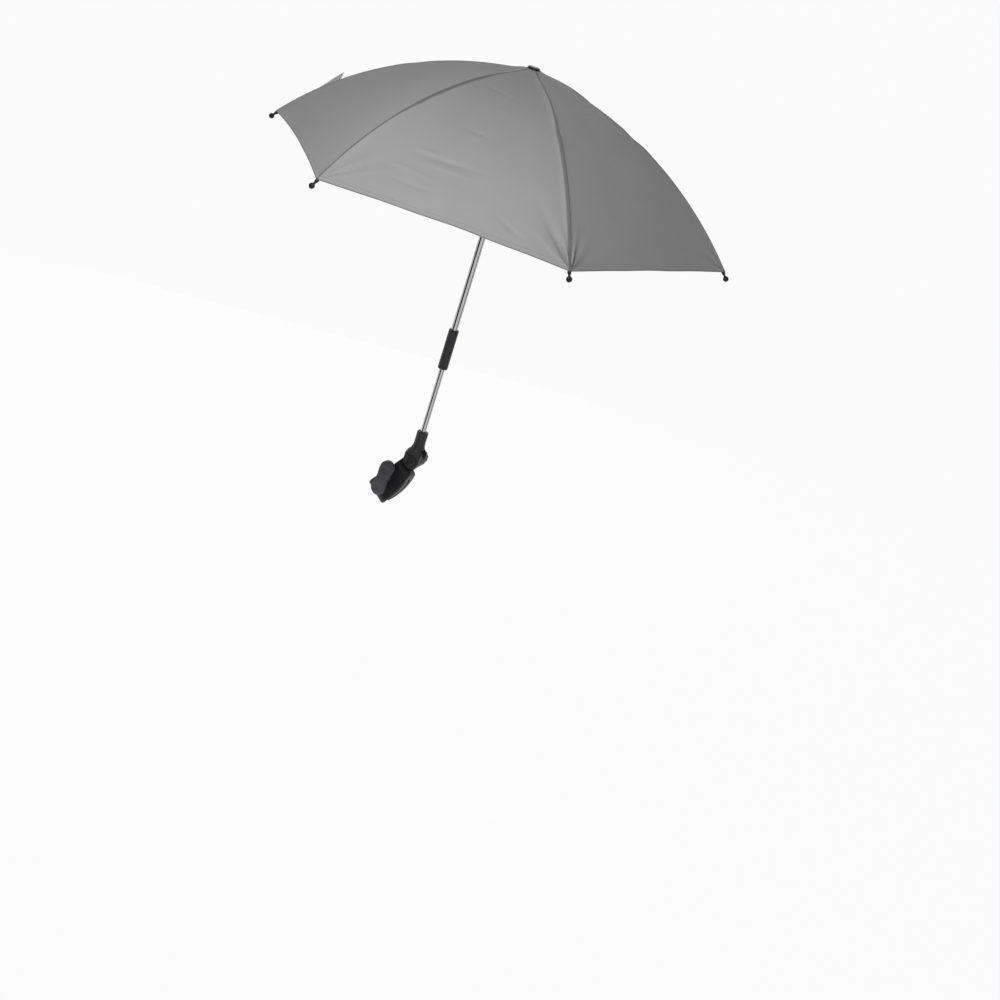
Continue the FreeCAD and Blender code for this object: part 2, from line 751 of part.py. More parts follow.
def fork_socket():
    """A bell that narrows into the rod's socket, cut to a fork with two round cheeks."""
    radius = SOCKET_DIA / 2
    bell = turned(
        drawn(
            Vector(0, 0, -EYE_RADIUS),
            Vector(bell_radius, 0, -EYE_RADIUS),
            Vector(bell_radius, 0, 0),
            (
                Vector(bell_radius, 0, FORK_TAPER / 2),
                Vector(radius, 0, FORK_TAPER / 2),
                Vector(radius, 0, FORK_TAPER),
            ),
            Vector(radius, 0, SOCKET_TOP - SOCKET_EDGE),
            Vector(radius - SOCKET_EDGE, 0, SOCKET_TOP),
            Vector(0, 0, SOCKET_TOP),
        )
    )
    side = drawn(
        Vector(-EYE_RADIUS, 0, 0),
        (Vector(0, 0, -EYE_RADIUS), Vector(EYE_RADIUS, 0, 0)),
        Vector(EYE_RADIUS, 0, SOCKET_TOP),
        Vector(-EYE_RADIUS, 0, SOCKET_TOP),
    )
    block = bell.common(slab(side, Y_AXIS, 2 * fork_half))
    rims = [edge for edge in block.Edges if on_cheek(edge)]
    block = block.makeFillet(CHEEK_EDGE, rims)
    gap = Part.makeBox(
        4 * EYE_RADIUS,
        fork_gap,
        CROTCH_HEIGHT + 2 * EYE_RADIUS,
        Vector(-2 * EYE_RADIUS, -fork_gap / 2, -2 * EYE_RADIUS),
    )
    rod_bore = Part.makeCylinder(
        rod_radius + RUNNING, SOCKET_DEPTH, Vector(0, 0, SOCKET_TOP - SOCKET_DEPTH)
    )
    pivot_bore = across(PIVOT_DIA / 2 + RUNNING, 2 * fork_half, Vector(0, 0, 0))
    recess = bar(
        CAP_HEAD_DIA / 2 + CLEAR,
        Vector(0, -fork_half - CAP_RECESS, 0),
        Vector(0, -fork_half + CAP_RECESS, 0),
    )
    return block.cut([gap, rod_bore, pivot_bore, recess, rivet_hole()])


def rivet_hole():
    return across(RIVET_DIA / 2 + RUNNING, SOCKET_DIA, Vector(0, 0, RIVET_HEIGHT))


def lower_rod():
    """The tube that the upper shaft slides on, held in the fork's socket."""
    base = SOCKET_TOP - SOCKET_DEPTH + RUNNING
    length = COLLAR_BASE + ROD_OVERLAP - base
    tube = Part.makeCylinder(rod_radius, length, Vector(0, 0, base))
    bore = Part.makeCylinder(rod_radius - ROD_WALL, length, Vector(0, 0, base))
    return tube.cut([bore, rivet_hole()])


def pivot_bolt():
    """The bolt of the tilt joint, with a wide domed head in the near cheek's recess."""
    seat = -fork_half + CAP_RECESS - RUNNING
    face = seat - CAP_HEAD_THICKNESS
    radius = CAP_HEAD_DIA / 2
    edge = CAP_HEAD_THICKNESS / 3
    shank = PIVOT_DIA / 2
    tail = fork_half + WASHER_THICKNESS + HAND_NUT_THICKNESS
    return spun_about_y(
        [
            (0, face),
            (radius - 2 * edge, face),
            (radius, face + edge),
            (radius, seat),
            (shank, seat),
            (shank, tail),
            (0, tail),
        ],
        Vector(0, 0, 0),
    )


def washer(start, direction):
    """A flat washer on the tilt bolt."""
    first = Vector(0, start, 0)
    last = Vector(0, start + direction * WASHER_THICKNESS, 0)
    hole = PIVOT_DIA / 2 + RUNNING
    return bar(WASHER_DIA / 2, first, last).cut(bar(hole, first, last))


def hand_nut():
    """The fluted nut that tightens the tilt joint from the far side."""
    low = fork_half + WASHER_THICKNESS + 2 * RUNNING
    high = low + HAND_NUT_THICKNESS
    radius = HAND_NUT_DIA / 2
    body = spun_about_y(
        [
            (PIVOT_DIA / 2 + RUNNING, low),
            (radius, low),
            (radius, high - HAND_NUT_EDGE),
            (radius - HAND_NUT_EDGE, high),
            (PIVOT_DIA / 2 + RUNNING, high),
        ],
        Vector(0, 0, 0),
    )
    flutes = []
    for number in range(HAND_NUT_FLUTES):
        turn = 2 * math.pi * number / HAND_NUT_FLUTES
        reach = radius + FLUTE_DIA / 4
        edge = Vector(reach * math.cos(turn), 0, reach * math.sin(turn))
        flutes.append(bar(FLUTE_DIA / 2, edge + Y_AXIS * (low - LOOSE), edge + Y_AXIS * (high + LOOSE)))
    return body.cut(flutes)


socket_rivet = across(RIVET_DIA / 2, SOCKET_DIA / 2, Vector(0, 0, RIVET_HEIGHT))
washer_seat = EAR_THICKNESS / 2 + RUNNING
add("fork_socket", on_shaft(fork_socket()))
add("lower_rod", on_shaft(lower_rod()))
add("socket_rivet", on_shaft(socket_rivet))
add("pivot_bolt", on_shaft(pivot_bolt()))
add(
    "tilt_washers",
    on_shaft(washer(-washer_seat, -1)),
    on_shaft(washer(washer_seat, 1)),
    on_shaft(washer(fork_half + RUNNING, 1)),
)
add("hand_nut", on_shaft(hand_nut()))

# Clamp, drawn with the tube along X, the arm along Z and the wing screw along Y


def ring_spot(radius, angle, side):
    """A point on a circle about the tube, at an angle up from the jaw's own side."""
    turn = math.radians(angle)
    return Vector(0, side * radius * math.cos(turn), radius * math.sin(turn))


def clamp_outline():
    """The clamp seen along the wing screw: a round ear on an arm that flares to the jaws."""
    start = JAW_OFFSET - JAW_WIDTH / 2
    end = JAW_OFFSET + JAW_WIDTH / 2
    low = -jaw_radius
    neck = spine_height + SPINE_DEPTH + SHOULDER
    corner = JAW_CORNER * (1 - math.sqrt(0.5))
    wire = drawn(
        Vector(-EYE_RADIUS, 0, ARM_LENGTH),
        (Vector(0, 0, ARM_LENGTH + EYE_RADIUS), Vector(EYE_RADIUS, 0, ARM_LENGTH)),
        Vector(EYE_RADIUS, 0, neck),
        (
            Vector((EYE_RADIUS + end) / 2, 0, neck),
            Vector(end, 0, SCREW_RISE),
            Vector(end, 0, 0),
        ),
        Vector(end, 0, low + JAW_CORNER),
        (Vector(end - corner, 0, low + corner), Vector(end - JAW_CORNER, 0, low)),
        Vector(start + JAW_CORNER, 0, low),
        (Vector(start + corner, 0, low + corner), Vector(start, 0, low + JAW_CORNER)),
        Vector(start, 0, spine_height),
    )
    return slab(wire, Y_AXIS, 4 * jaw_radius)


def touch_angle(reach, height):
    """The angle on the jaws' outer circle where a straight line from this point touches it."""
    turn = math.acos(jaw_radius / math.hypot(reach, height))
    return math.degrees(math.atan2(height, reach) - turn)


def jaw_reach(height):
    """How far the straight back of the loose jaw stands out from the middle of the gap."""
    front = JAW_GAP / 2 + JAW_TOP_WALL
    top = spine_height - CLEAR
    touch = ring_spot(jaw_radius, touch_angle(front, top), 1)
    share = (top - height) / (top - touch.z)
    return front + share * (touch.y - front)


def rounded(jaw, side):
    """A jaw with its two long outer edges rounded."""
    edges = []
    for edge in jaw.Edges:
        middle = edge.CenterOfMass
        outer = math.hypot(middle.y, middle.z) > jaw_radius - JAW_WALL / 2
        if outer and side * middle.y > JAW_TOP_WALL and edge.BoundBox.ZLength > JAW_EDGE:
            edges.append(edge)
    return jaw.makeFillet(JAW_EDGE, edges)


def screw_hole():
    return across(SCREW_DIA / 2 + CLEAR, 2 * jaw_radius, Vector(0, 0, SCREW_RISE))


def nut_prism(flats, start, end):
    """A hexagonal prism on the wing screw's axis."""
    reach = flats / math.sqrt(3)
    corners = [
        Vector(
            reach * math.cos(math.radians(60 * corner)),
            start,
            SCREW_RISE + reach * math.sin(math.radians(60 * corner)),
        )
        for corner in range(6)
    ]
    face = Part.Face(Part.makePolygon(corners + corners[:1]))
    return face.extrude(Y_AXIS * (end - start))


def clamp_body():
    """The fixed jaw, the spine over both jaws and the ear of the tilt joint, in one piece."""
    gap = JAW_GAP / 2
    ear = EAR_THICKNESS / 2
    top = ARM_LENGTH + EYE_RADIUS
    shoulder = spine_height + SPINE_DEPTH
    back = gap + JAW_TOP_WALL
    wire = drawn(
        ring_spot(seat_radius, -LIP_ANGLE, 1),
        (
            ring_spot(seat_radius, 0, 1),
            Vector(0, gap, math.sqrt(seat_radius ** 2 - gap ** 2)),
        ),
        Vector(0, gap, spine_height),
        Vector(0, -SPINE_OVERHANG, spine_height),
        Vector(0, -SPINE_OVERHANG, shoulder - SHOULDER),
        Vector(0, -ear, shoulder + SHOULDER),
        Vector(0, -ear, top),
        Vector(0, ear, top),
        Vector(0, ear, shoulder + SHOULDER),
        Vector(0, back, shoulder - SHOULDER),
        ring_spot(jaw_radius, touch_angle(back, shoulder - SHOULDER), 1),
        (ring_spot(jaw_radius, 0, 1), ring_spot(jaw_radius, -LIP_ANGLE, 1)),
    )
    body = rounded(slab(wire, X_AXIS, 2 * JAW_WIDTH).common(clamp_outline()), 1)
    pocket = nut_prism(NUT_FLATS + 2 * CLEAR, gap + NUT_COVER, 2 * jaw_radius)
    pivot_bore = across(PIVOT_DIA / 2 + RUNNING, EAR_THICKNESS, Vector(0, 0, ARM_LENGTH))
    return body.cut([screw_hole(), pocket, pivot_bore])


def loose_jaw():
    """The moving jaw under the wing screw, which slides under the spine."""
    gap = JAW_GAP / 2
    top = spine_height - CLEAR
    front = gap + JAW_TOP_WALL
    wire = drawn(
        ring_spot(seat_radius, -LIP_ANGLE, -1),
        (
            ring_spot(seat_radius, 0, -1),
            Vector(0, -gap, math.sqrt(seat_radius ** 2 - gap ** 2)),
        ),
        Vector(0, -gap, top),
        Vector(0, -front, top),
        ring_spot(jaw_radius, touch_angle(front, top), -1),
        (ring_spot(jaw_radius, 0, -1), ring_spot(jaw_radius, -LIP_ANGLE, -1)),
    )
    jaw = rounded(slab(wire, X_AXIS, 2 * JAW_WIDTH).common(clamp_outline()), -1)
    spot_face = bar(
        max(SCREW_WASHER_DIA, KNOB_HUB_DIA) / 2 + CLEAR,
        Vector(0, -washer_face, SCREW_RISE),
        Vector(0, -2 * jaw_radius, SCREW_RISE),
    )
    return jaw.cut([screw_hole(), spot_face])


def jaw_pad(side):
    """The rubber lining of one jaw, bent round the tube."""
    inner = TUBE_DIA / 2
    outer = seat_radius - RUNNING
    spread = LIP_ANGLE
    wire = drawn(
        ring_spot(inner, -spread, side),
        (ring_spot(inner, 0, side), ring_spot(inner, spread, side)),
        ring_spot(outer, spread, side),
        (ring_spot(outer, 0, side), ring_spot(outer, -spread, side)),
    )
    pad = slab(wire, X_AXIS, PAD_LENGTH)
    pad.translate(X_AXIS * JAW_OFFSET)
    return pad


def clamp_screw():
    """The threaded shank of the wing screw, from inside the knob to past the nut."""
    start = -knob_back - KNOB_HUB
    end = JAW_GAP / 2 + NUT_COVER + NUT_THICKNESS + SCREW_TAIL
    return bar(SCREW_DIA / 2, Vector(0, start, SCREW_RISE), Vector(0, end, SCREW_RISE))


def screw_washer():
    start = Vector(0, -washer_face, SCREW_RISE)
    end = start - Y_AXIS * SCREW_WASHER
    return bar(SCREW_WASHER_DIA / 2, start, end).cut(bar(SCREW_DIA / 2 + SLIDING, start, end))


def wing_outline():
    """Two rounded wings with a narrow waist, seen along the screw."""
    lobe = WING_WIDTH / 2
    reach = WING_LENGTH / 2 - lobe
    waist = WING_WAIST / 2
    return drawn(
        Vector(lobe, 0, reach),
        (Vector(0, 0, reach + lobe), Vector(-lobe, 0, reach)),
        (Vector(-lobe, 0, reach / 2), Vector(-waist, 0, reach / 2), Vector(-waist, 0, 0)),
        (Vector(-waist, 0, -reach / 2), Vector(-lobe, 0, -reach / 2), Vector(-lobe, 0, -reach)),
        (Vector(0, 0, -reach - lobe), Vector(lobe, 0, -reach)),
        (Vector(lobe, 0, -reach / 2), Vector(waist, 0, -reach / 2), Vector(waist, 0, 0)),
        (Vector(waist, 0, reach / 2), Vector(lobe, 0, reach / 2), Vector(lobe, 0, reach)),
    )


def wing_knob():
    """The two-winged knob on the screw, arched back, with a shallow thumb dish in each wing."""
    reach = WING_LENGTH / 2 - WING_WIDTH / 2
    face = -knob_back - KNOB_HUB - WING_THICKNESS
    arch = (WING_LENGTH ** 2 / 4 + WING_SWEEP ** 2) / (2 * WING_SWEEP)
    wings = slab(wing_outline(), Y_AXIS, WING_THICKNESS)
    wings.translate(Vector(0, face + WING_THICKNESS / 2, 0))
    bow = bar(arch, Vector(-WING_WIDTH, face + arch, 0), Vector(WING_WIDTH, face + arch, 0))
    wings = wings.common(bow)
    rims = [edge for edge in wings.Edges if max(edge.BoundBox.XLength, edge.BoundBox.ZLength) > WING_EDGE]
    wings = wings.makeFillet(WING_EDGE, rims)
    hub = bar(
        KNOB_HUB_DIA / 2,
        Vector(0, -knob_back, 0),
        Vector(0, face + WING_THICKNESS / 2, 0),
    )
    back = arch - math.sqrt(arch ** 2 - reach ** 2)
    dishes = [
        Part.makeSphere(
            WING_DISH_RADIUS,
            Vector(0, face + back + WING_DISH - WING_DISH_RADIUS, side * reach),
        )
        for side in (-1, 1)
    ]
    bore = bar(
        SCREW_DIA / 2 + RUNNING,
        Vector(0, 0, 0),
        Vector(0, -knob_back - KNOB_HUB - RUNNING, 0),
    )
    knob = wings.fuse(hub).cut(dishes + [bore])
    knob.rotate(Vector(0, 0, 0), Y_AXIS, -WING_ANGLE)
    knob.translate(Vector(0, 0, SCREW_RISE))
    return knob


washer_face = jaw_reach(SCREW_RISE) - SEAT_DEPTH
knob_back = washer_face + SCREW_WASHER + RUNNING
nut_start = JAW_GAP / 2 + NUT_COVER + RUNNING
clamp_nut = nut_prism(NUT_FLATS, nut_start, nut_start + NUT_THICKNESS).cut(
    across(SCREW_DIA / 2 + RUNNING, 2 * jaw_radius, Vector(0, 0, SCREW_RISE))
)
add("clamp_body", on_clamp(clamp_body()))
add("clamp_nut", on_clamp(clamp_nut))
add("fixed_pad", on_clamp(jaw_pad(1)))
add("loose_jaw", on_clamp(loose_jaw()))
add("loose_pad", on_clamp(jaw_pad(-1)))
add("screw_washer", on_clamp(screw_washer()))
add("clamp_screw", on_clamp(clamp_screw()))
add("wing_knob", on_clamp(wing_knob()))

os.makedirs("parts", exist_ok=True)
for name, shape in nodes.items():
    shape.exportStep(os.path.join("parts", name + ".step"))
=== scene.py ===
import json
import math

import bpy
import numpy as np
from mathutils import Matrix, Vector


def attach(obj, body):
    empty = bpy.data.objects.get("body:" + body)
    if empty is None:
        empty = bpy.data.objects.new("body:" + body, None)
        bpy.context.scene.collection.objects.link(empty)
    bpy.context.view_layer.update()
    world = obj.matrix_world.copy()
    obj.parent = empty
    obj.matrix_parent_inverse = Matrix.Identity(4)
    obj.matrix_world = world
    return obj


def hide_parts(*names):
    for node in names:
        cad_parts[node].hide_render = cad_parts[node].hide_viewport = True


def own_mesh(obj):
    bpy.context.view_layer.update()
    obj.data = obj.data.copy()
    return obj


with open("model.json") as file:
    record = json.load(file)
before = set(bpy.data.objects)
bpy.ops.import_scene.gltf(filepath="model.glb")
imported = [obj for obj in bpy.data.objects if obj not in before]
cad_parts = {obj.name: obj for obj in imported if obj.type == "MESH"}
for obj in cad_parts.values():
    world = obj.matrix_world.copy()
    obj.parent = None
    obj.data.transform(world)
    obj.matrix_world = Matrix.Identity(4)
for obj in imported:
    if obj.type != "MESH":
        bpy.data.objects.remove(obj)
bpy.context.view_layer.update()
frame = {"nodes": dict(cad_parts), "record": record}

nodes = frame["nodes"]
scene = bpy.context.scene

# Sizes of the parasol as the solids have them, in millimetres. Heights are over the tilt pivot.
MM = 0.001
PIVOT = np.array((35.2, 0.0, 66.1))
RING_RADIUS = 11.0  # ring that the ribs hinge on
RING_HEIGHT = 618.0
EYE_DROP = 2.5  # ring below the rib's middle line
TIP_RADIUS = 360.0  # shaft axis out to the middle of a ball tip
TIP_DROP = 184.0  # inner end of a rib down to the middle of its ball tip
RIB_RISE = 36.0  # height of the rib's arc over its chord
RIB_COUNT = 6
RIB_PHASE = 13.5  # angle of the first rib from +X, in degrees
JOINT_ALONG = 160.0  # inner end of a rib to the joint of its stretcher
CLOTH_CORNER = 10.0  # middle of a ball tip to the corner of the cloth
CLOTH_LIFT = 3.45  # rib's middle line up to the cloth

RIB_STEP = 360.0 / RIB_COUNT
HALF_STEP = math.radians(RIB_STEP / 2)
inner = np.array((RING_RADIUS, RING_HEIGHT + EYE_DROP))
outer = np.array((TIP_RADIUS, inner[1] - TIP_DROP))
chord = float(np.hypot(*(outer - inner)))
arc_radius = (chord ** 2 / 4 + RIB_RISE ** 2) / (2 * RIB_RISE)
chord_slope = math.atan2(TIP_DROP, outer[0] - inner[0])
half_sweep = math.asin(chord / 2 / arc_radius)
inner_slope = chord_slope - half_sweep
outer_slope = chord_slope + half_sweep
arc_centre = inner - arc_radius * np.array((math.sin(inner_slope), math.cos(inner_slope)))
rib_length = 2 * half_sweep * arc_radius
cloth_length = rib_length - CLOTH_CORNER


def on_rib(along, lift):
    """Radius and height of points along the rib's arc, lifted off its middle line."""
    lean = inner_slope + np.asarray(along) / arc_radius
    reach = arc_radius + lift
    return arc_centre[0] + reach * np.sin(lean), arc_centre[1] + reach * np.cos(lean)


def along_at(radius, lift):
    """How far along the rib's arc the lifted line reaches this radius."""
    lean = np.arcsin((np.asarray(radius) - arc_centre[0]) / (arc_radius + lift))
    return (lean - inner_slope) * arc_radius


def rib_angle(number):
    """Direction of a rib seen from above, where the first rib has number 0."""
    return math.radians(RIB_PHASE + RIB_STEP * number)


def to_row(points):
    """Points over the tilt pivot in millimetres, as places in the frame in metres."""
    return (points + PIVOT) * MM


# Shader helpers


def tree_of(name):
    made = bpy.data.materials.new(name)
    made.use_nodes = True
    return made, made.node_tree, made.node_tree.nodes["Principled BSDF"]


def feed(tree, node, inputs):
    """Set a node's inputs, or link them where the value is another node's output."""
    for key, value in inputs.items():
        if isinstance(value, bpy.types.NodeSocket):
            tree.links.new(value, node.inputs[key])
        else:
            node.inputs[key].default_value = value


def put(tree, kind, inputs=None, **settings):
    made = tree.nodes.new(kind)
    for key, value in settings.items():
        setattr(made, key, value)
    feed(tree, made, inputs or {})
    return made


def maths(tree, operation, first, second=0.0):
    return put(tree, "ShaderNodeMath", {0: first, 1: second}, operation=operation).outputs[0]


def times(tree, first, second):
    return maths(tree, "MULTIPLY", first, second)


def ramp(tree, value, low, high, to_low=0.0, to_high=1.0, smooth=True):
    made = put(
        tree,
        "ShaderNodeMapRange",
        {"Value": value, "From Min": low, "From Max": high, "To Min": to_low, "To Max": to_high},
        interpolation_type="SMOOTHSTEP" if smooth else "LINEAR",
    )
    return made.outputs["Result"]


def mix_colour(tree, share, first, second):
    share_input, first_input, second_input, colour_output = 0, 6, 7, 2
    inputs = {share_input: share, first_input: first, second_input: second}
    return put(tree, "ShaderNodeMix", inputs, data_type="RGBA").outputs[colour_output]


def grey(level, tint=(1.0, 1.0, 1.0)):
    return (level * tint[0], level * tint[1], level * tint[2], 1.0)


def on_cloth(tree, layer):
    return put(tree, "ShaderNodeUVMap", uv_map=layer).outputs["UV"]


def on_object(tree):
    return put(tree, "ShaderNodeTexCoord").outputs["Object"]


def noise(tree, where, scale, detail):
    inputs = {"Vector": where, "Scale": scale, "Detail": detail}
    return put(tree, "ShaderNodeTexNoise", inputs).outputs["Fac"]


def cells(tree, where, scale):
    return put(tree, "ShaderNodeTexVoronoi", {"Vector": where, "Scale": scale}).outputs["Distance"]


def wave(tree, where, scale, direction, **more):
    inputs = {"Vector": where, "Scale": scale, **more}
    return put(tree, "ShaderNodeTexWave", inputs, bands_direction=direction).outputs["Fac"]


def bump(tree, height, strength, distance):
    inputs = {"Height": height, "Strength": strength, "Distance": distance}
    return put(tree, "ShaderNodeBump", inputs).outputs["Normal"]


# Materials. Lengths in them are in metres.

SEAM_SHADE_LINE = (0.0007, 0.0022)  # distance from a seam at which its painted shade line begins and ends to fade
HEM_SHADE = (0.0006, 0.002)  # the same for the painted shade along the hem's edge
HEM_STITCH = 0.0075  # hem's edge up to its line of stitches
HEM_LINE = (0.0002, 0.0007)  # distance from that line at which its groove fades
COOL = (0.98, 0.97, 1.08)  # tint of the black plastics
PLATED = (0.98, 0.98, 1.0)  # tint of the chrome
NEUTRAL = (1.0, 1.0, 1.0)


def cloth_material():
    """Grey polyester: a fine plain weave, a soft sheen, seam and hem stitching, and painted shade along the
    seams and the hem's edge.
    """
    made, tree, bsdf = tree_of("canopy_cloth")
    weave = on_cloth(tree, "weave")
    uneven = {"Distortion": 0.6, "Detail": 1.0, "Detail Scale": 0.3}
    warp = wave(tree, weave, scale=700.0, direction="X", **uneven)
    weft = wave(tree, weave, scale=700.0, direction="Y", **uneven)
    woven = times(tree, warp, weft)
    cloud = noise(tree, weave, scale=14.0, detail=3.0)
    slub = noise(tree, weave, scale=900.0, detail=2.0)

    sewn = on_cloth(tree, "sewn")
    parts = put(tree, "ShaderNodeSeparateXYZ", {"Vector": sewn})
    from_seam = maths(tree, "ABSOLUTE", parts.outputs["X"])
    from_hem = parts.outputs["Y"]
    seam_groove_shade = ramp(tree, from_seam, *SEAM_SHADE_LINE, to_low=1.0, to_high=0.0)
    off_stitch = maths(tree, "ABSOLUTE", maths(tree, "SUBTRACT", from_hem, HEM_STITCH))
    hem_line = ramp(tree, off_stitch, *HEM_LINE, to_low=1.0, to_high=0.0)
    stitch = ramp(tree, wave(tree, sewn, scale=125.0, direction="X"), 0.3, 0.6)
    stitches = times(tree, hem_line, stitch)
    hem_edge_shade = ramp(tree, from_hem, *HEM_SHADE, to_low=0.55, to_high=0.0)
    threads = ramp(tree, woven, 0.0, 1.0, to_low=0.0, to_high=0.22)

    shadow, light_thread, dark_thread = grey(0.06), grey(0.31), grey(0.14)
    tone = mix_colour(tree, cloud, grey(0.255), grey(0.288))
    tone = mix_colour(tree, threads, tone, light_thread)
    # painted shade: a dark line along each seam, where the seam's groove and the rib's flank lie in shade
    tone = mix_colour(tree, times(tree, seam_groove_shade, 0.7), tone, shadow)
    # painted shade along the hem's edge, where the cloth turns under
    tone = mix_colour(tree, hem_edge_shade, tone, shadow)
    tone = mix_colour(tree, times(tree, stitches, 0.5), tone, dark_thread)

    height = maths(tree, "ADD", times(tree, woven, 0.00006), times(tree, slub, 0.00003))
    height = maths(tree, "SUBTRACT", height, times(tree, hem_line, 0.0002))
    height = maths(tree, "SUBTRACT", height, times(tree, seam_groove_shade, 0.0003))
    finish = {
        "Base Color": tone,
        "Roughness": ramp(tree, slub, 0.3, 0.7, to_low=0.52, to_high=0.66),
        "Specular IOR Level": 0.25,
        "Sheen Weight": 0.06,
        "Sheen Roughness": 0.45,
        "Normal": bump(tree, height, strength=0.6, distance=1.0),
    }
    feed(tree, bsdf, finish)
    return made


def webbing_material():
    """Hook-and-loop closing strap: raised ribs across a grey band, with painted light on the ribs and
    painted shade between them.
    """
    made, tree, bsdf = tree_of("webbing")
    where = on_cloth(tree, "weave")
    ribs = wave(tree, where, scale=80.0, direction="Y")
    loops = noise(tree, where, scale=1600.0, detail=2.0)
    # painted light and shade: lighter on the raised ribs, darker in the hollows between them
    tone = mix_colour(tree, ramp(tree, ribs, 0.3, 0.7), grey(0.04), grey(0.78))
    tone = mix_colour(tree, times(tree, loops, 0.3), tone, grey(0.1))
    height = maths(tree, "ADD", times(tree, ribs, 0.0004), times(tree, loops, 0.0001))
    normal = bump(tree, height, strength=0.8, distance=1.0)
    feed(tree, bsdf, {"Base Color": tone, "Roughness": 0.8, "Sheen Weight": 0.2, "Normal": normal})
    return made


def plastic_material(name, level, rough, grain):
    """Moulded plastic: fine spark-eroded grain, faint flow marks and dust-softened gloss."""
    made, tree, bsdf = tree_of(name)
    where = on_object(tree)
    flow = noise(tree, where, scale=60.0, detail=4.0)
    grained = cells(tree, where, scale=2600.0)
    finish = {
        "Base Color": mix_colour(tree, flow, grey(level * 0.8, COOL), grey(level * 1.25, COOL)),
        "Roughness": ramp(tree, flow, 0.3, 0.7, to_low=rough - 0.05, to_high=rough + 0.07),
        "Specular IOR Level": 0.2,
        "Normal": bump(tree, grained, strength=grain, distance=0.00008),
    }
    feed(tree, bsdf, finish)
    return made


def metal_material(name, level, rough, draw, tint):
    """Drawn metal: polished, with faint lines along the shaft and slight blotches."""
    made, tree, bsdf = tree_of(name)
    where = on_object(tree)
    stretched = put(tree, "ShaderNodeMapping", {"Vector": where, "Scale": (900.0, 900.0, 9.0)})
    lines = noise(tree, stretched.outputs["Vector"], scale=1.0, detail=3.0)
    blotch = noise(tree, where, scale=45.0, detail=3.0)
    finish = {
        "Base Color": mix_colour(tree, lines, grey(level * 0.93, tint), grey(level * 1.05, tint)),
        "Roughness": ramp(tree, blotch, 0.25, 0.75, to_low=rough * 0.75, to_high=rough * 1.3),
        "Metallic": 1.0,
        "Normal": bump(tree, lines, strength=draw, distance=0.00004),
    }
    feed(tree, bsdf, finish)
    return made


def thread_material():
    """Zinc-plated screw with its thread cut along the shank, and painted shade in the thread's grooves."""
    made, tree, bsdf = tree_of("thread")
    cut = wave(tree, on_object(tree), scale=314.0, direction="Y")
    # painted shade: darker in the thread's grooves, lighter on its crests
    tone = mix_colour(tree, cut, grey(0.2), grey(0.55))
    normal = bump(tree, cut, strength=0.8, distance=0.0004)
    feed(tree, bsdf, {"Base Color": tone, "Metallic": 1.0, "Roughness": 0.35, "Normal": normal})
    return made


def rubber_material():
    """Soft black rubber: matte, with a fine pebble and a little bloom."""
    made, tree, bsdf = tree_of("rubber")
    where = on_object(tree)
    bloom = noise(tree, where, scale=80.0, detail=4.0)
    tone = mix_colour(tree, bloom, grey(0.018), grey(0.04))
    normal = bump(tree, cells(tree, where, scale=1400.0), strength=0.4, distance=0.0002)
    feed(tree, bsdf, {"Base Color": tone, "Roughness": 0.85, "Normal": normal})
    return made


cloth = cloth_material()
webbing = webbing_material()
black = plastic_material("black_plastic", level=0.012, rough=0.38, grain=0.25)
# painted light: lighter copies of the black plastic, standing for the light that these faces catch
lit_satin_black = plastic_material("satin_black_plastic", level=0.024, rough=0.42, grain=0.3)
lit_knob_black = plastic_material("knob_black_plastic", level=0.05, rough=0.5, grain=0.35)
gloss_black = plastic_material("gloss_black_plastic", level=0.012, rough=0.25, grain=0.1)
chrome = metal_material("chrome_tube", level=0.5, rough=0.1, draw=0.05, tint=PLATED)
steel = metal_material("steel", level=0.5, rough=0.28, draw=0.3, tint=NEUTRAL)
thread = thread_material()
rubber = rubber_material()

# Finish of the solids

BY_SLOT = {
    "chrome_tube": chrome,
    "steel": steel,
    "black_plastic": black,
    "rubber": rubber,
    "canopy_cloth": cloth,
    "webbing": webbing,
}
BY_NODE = {
    "top_cap": gloss_black,
    "clamp_screw": thread,
    "wing_knob": lit_knob_black,
    "fork_socket": lit_satin_black,
    "hand_nut": lit_satin_black,
    "twist_collar": lit_satin_black,
    "socket_rivet": black,
}
# Width of the moulded edge, in millimetres
ROUNDED = {
    "clamp_body": 0.8,
    "loose_jaw": 0.8,
    "hand_nut": 0.4,
    "pivot_bolt": 0.4,
    "top_cap": 0.5,
    "runner": 0.5,
    "crown": 0.4,
}
WELD_REACH = 0.005  # corners of the solid's faces closer than this become one
EDGE_SEGMENTS = 3
SHARP_EDGE = 38  # edges that turn more than this many degrees are rounded


def round_edges(shown, width):
    weld = shown.modifiers.new("weld", "WELD")
    weld.merge_threshold = WELD_REACH * MM
    edge = shown.modifiers.new("edge", "BEVEL")
    edge.width = width * MM
    edge.segments = EDGE_SEGMENTS
    edge.limit_method = "ANGLE"
    edge.angle_limit = math.radians(SHARP_EDGE)
    edge.harden_normals = True


for part in frame["record"]["subparts"]:
    name = part["node"]
    for place in nodes[name].material_slots:
        place.link = "OBJECT"
        place.material = BY_NODE.get(name, BY_SLOT[part["material_slot"]])
    if name in ROUNDED:
        round_edges(nodes[name], ROUNDED[name])

# Canopy: one sheet from rib to rib, made as six wedges that share their borders.
# Panel k lies between rib k and the next one. Across it goes from 0 at its first rib to 1 at its
# second, and along it goes from the crown to the hem. Sizes are in millimetres.

HEM_BOW = (2.5, 4.0, 4.0, 4.0, 2.3, 1.0)  # how far each panel's hem curves in
# Sag of each panel: depth, and the powers that set where across it lies deepest
SAG = ((4.0, 1, 1), (4.5, 1, 1), (4.0, 1, 1), (4.0, 2, 1), (4.0, 1, 1), (3.0, 1, 2))
SAG_SKEW = 0.9  # below 1 puts the deepest place nearer to the crown
# Fullness of a panel: height, place across and half width across
FULL = {6: (4.0, 0.72, 0.2)}
FULL_SKEW = 0.8
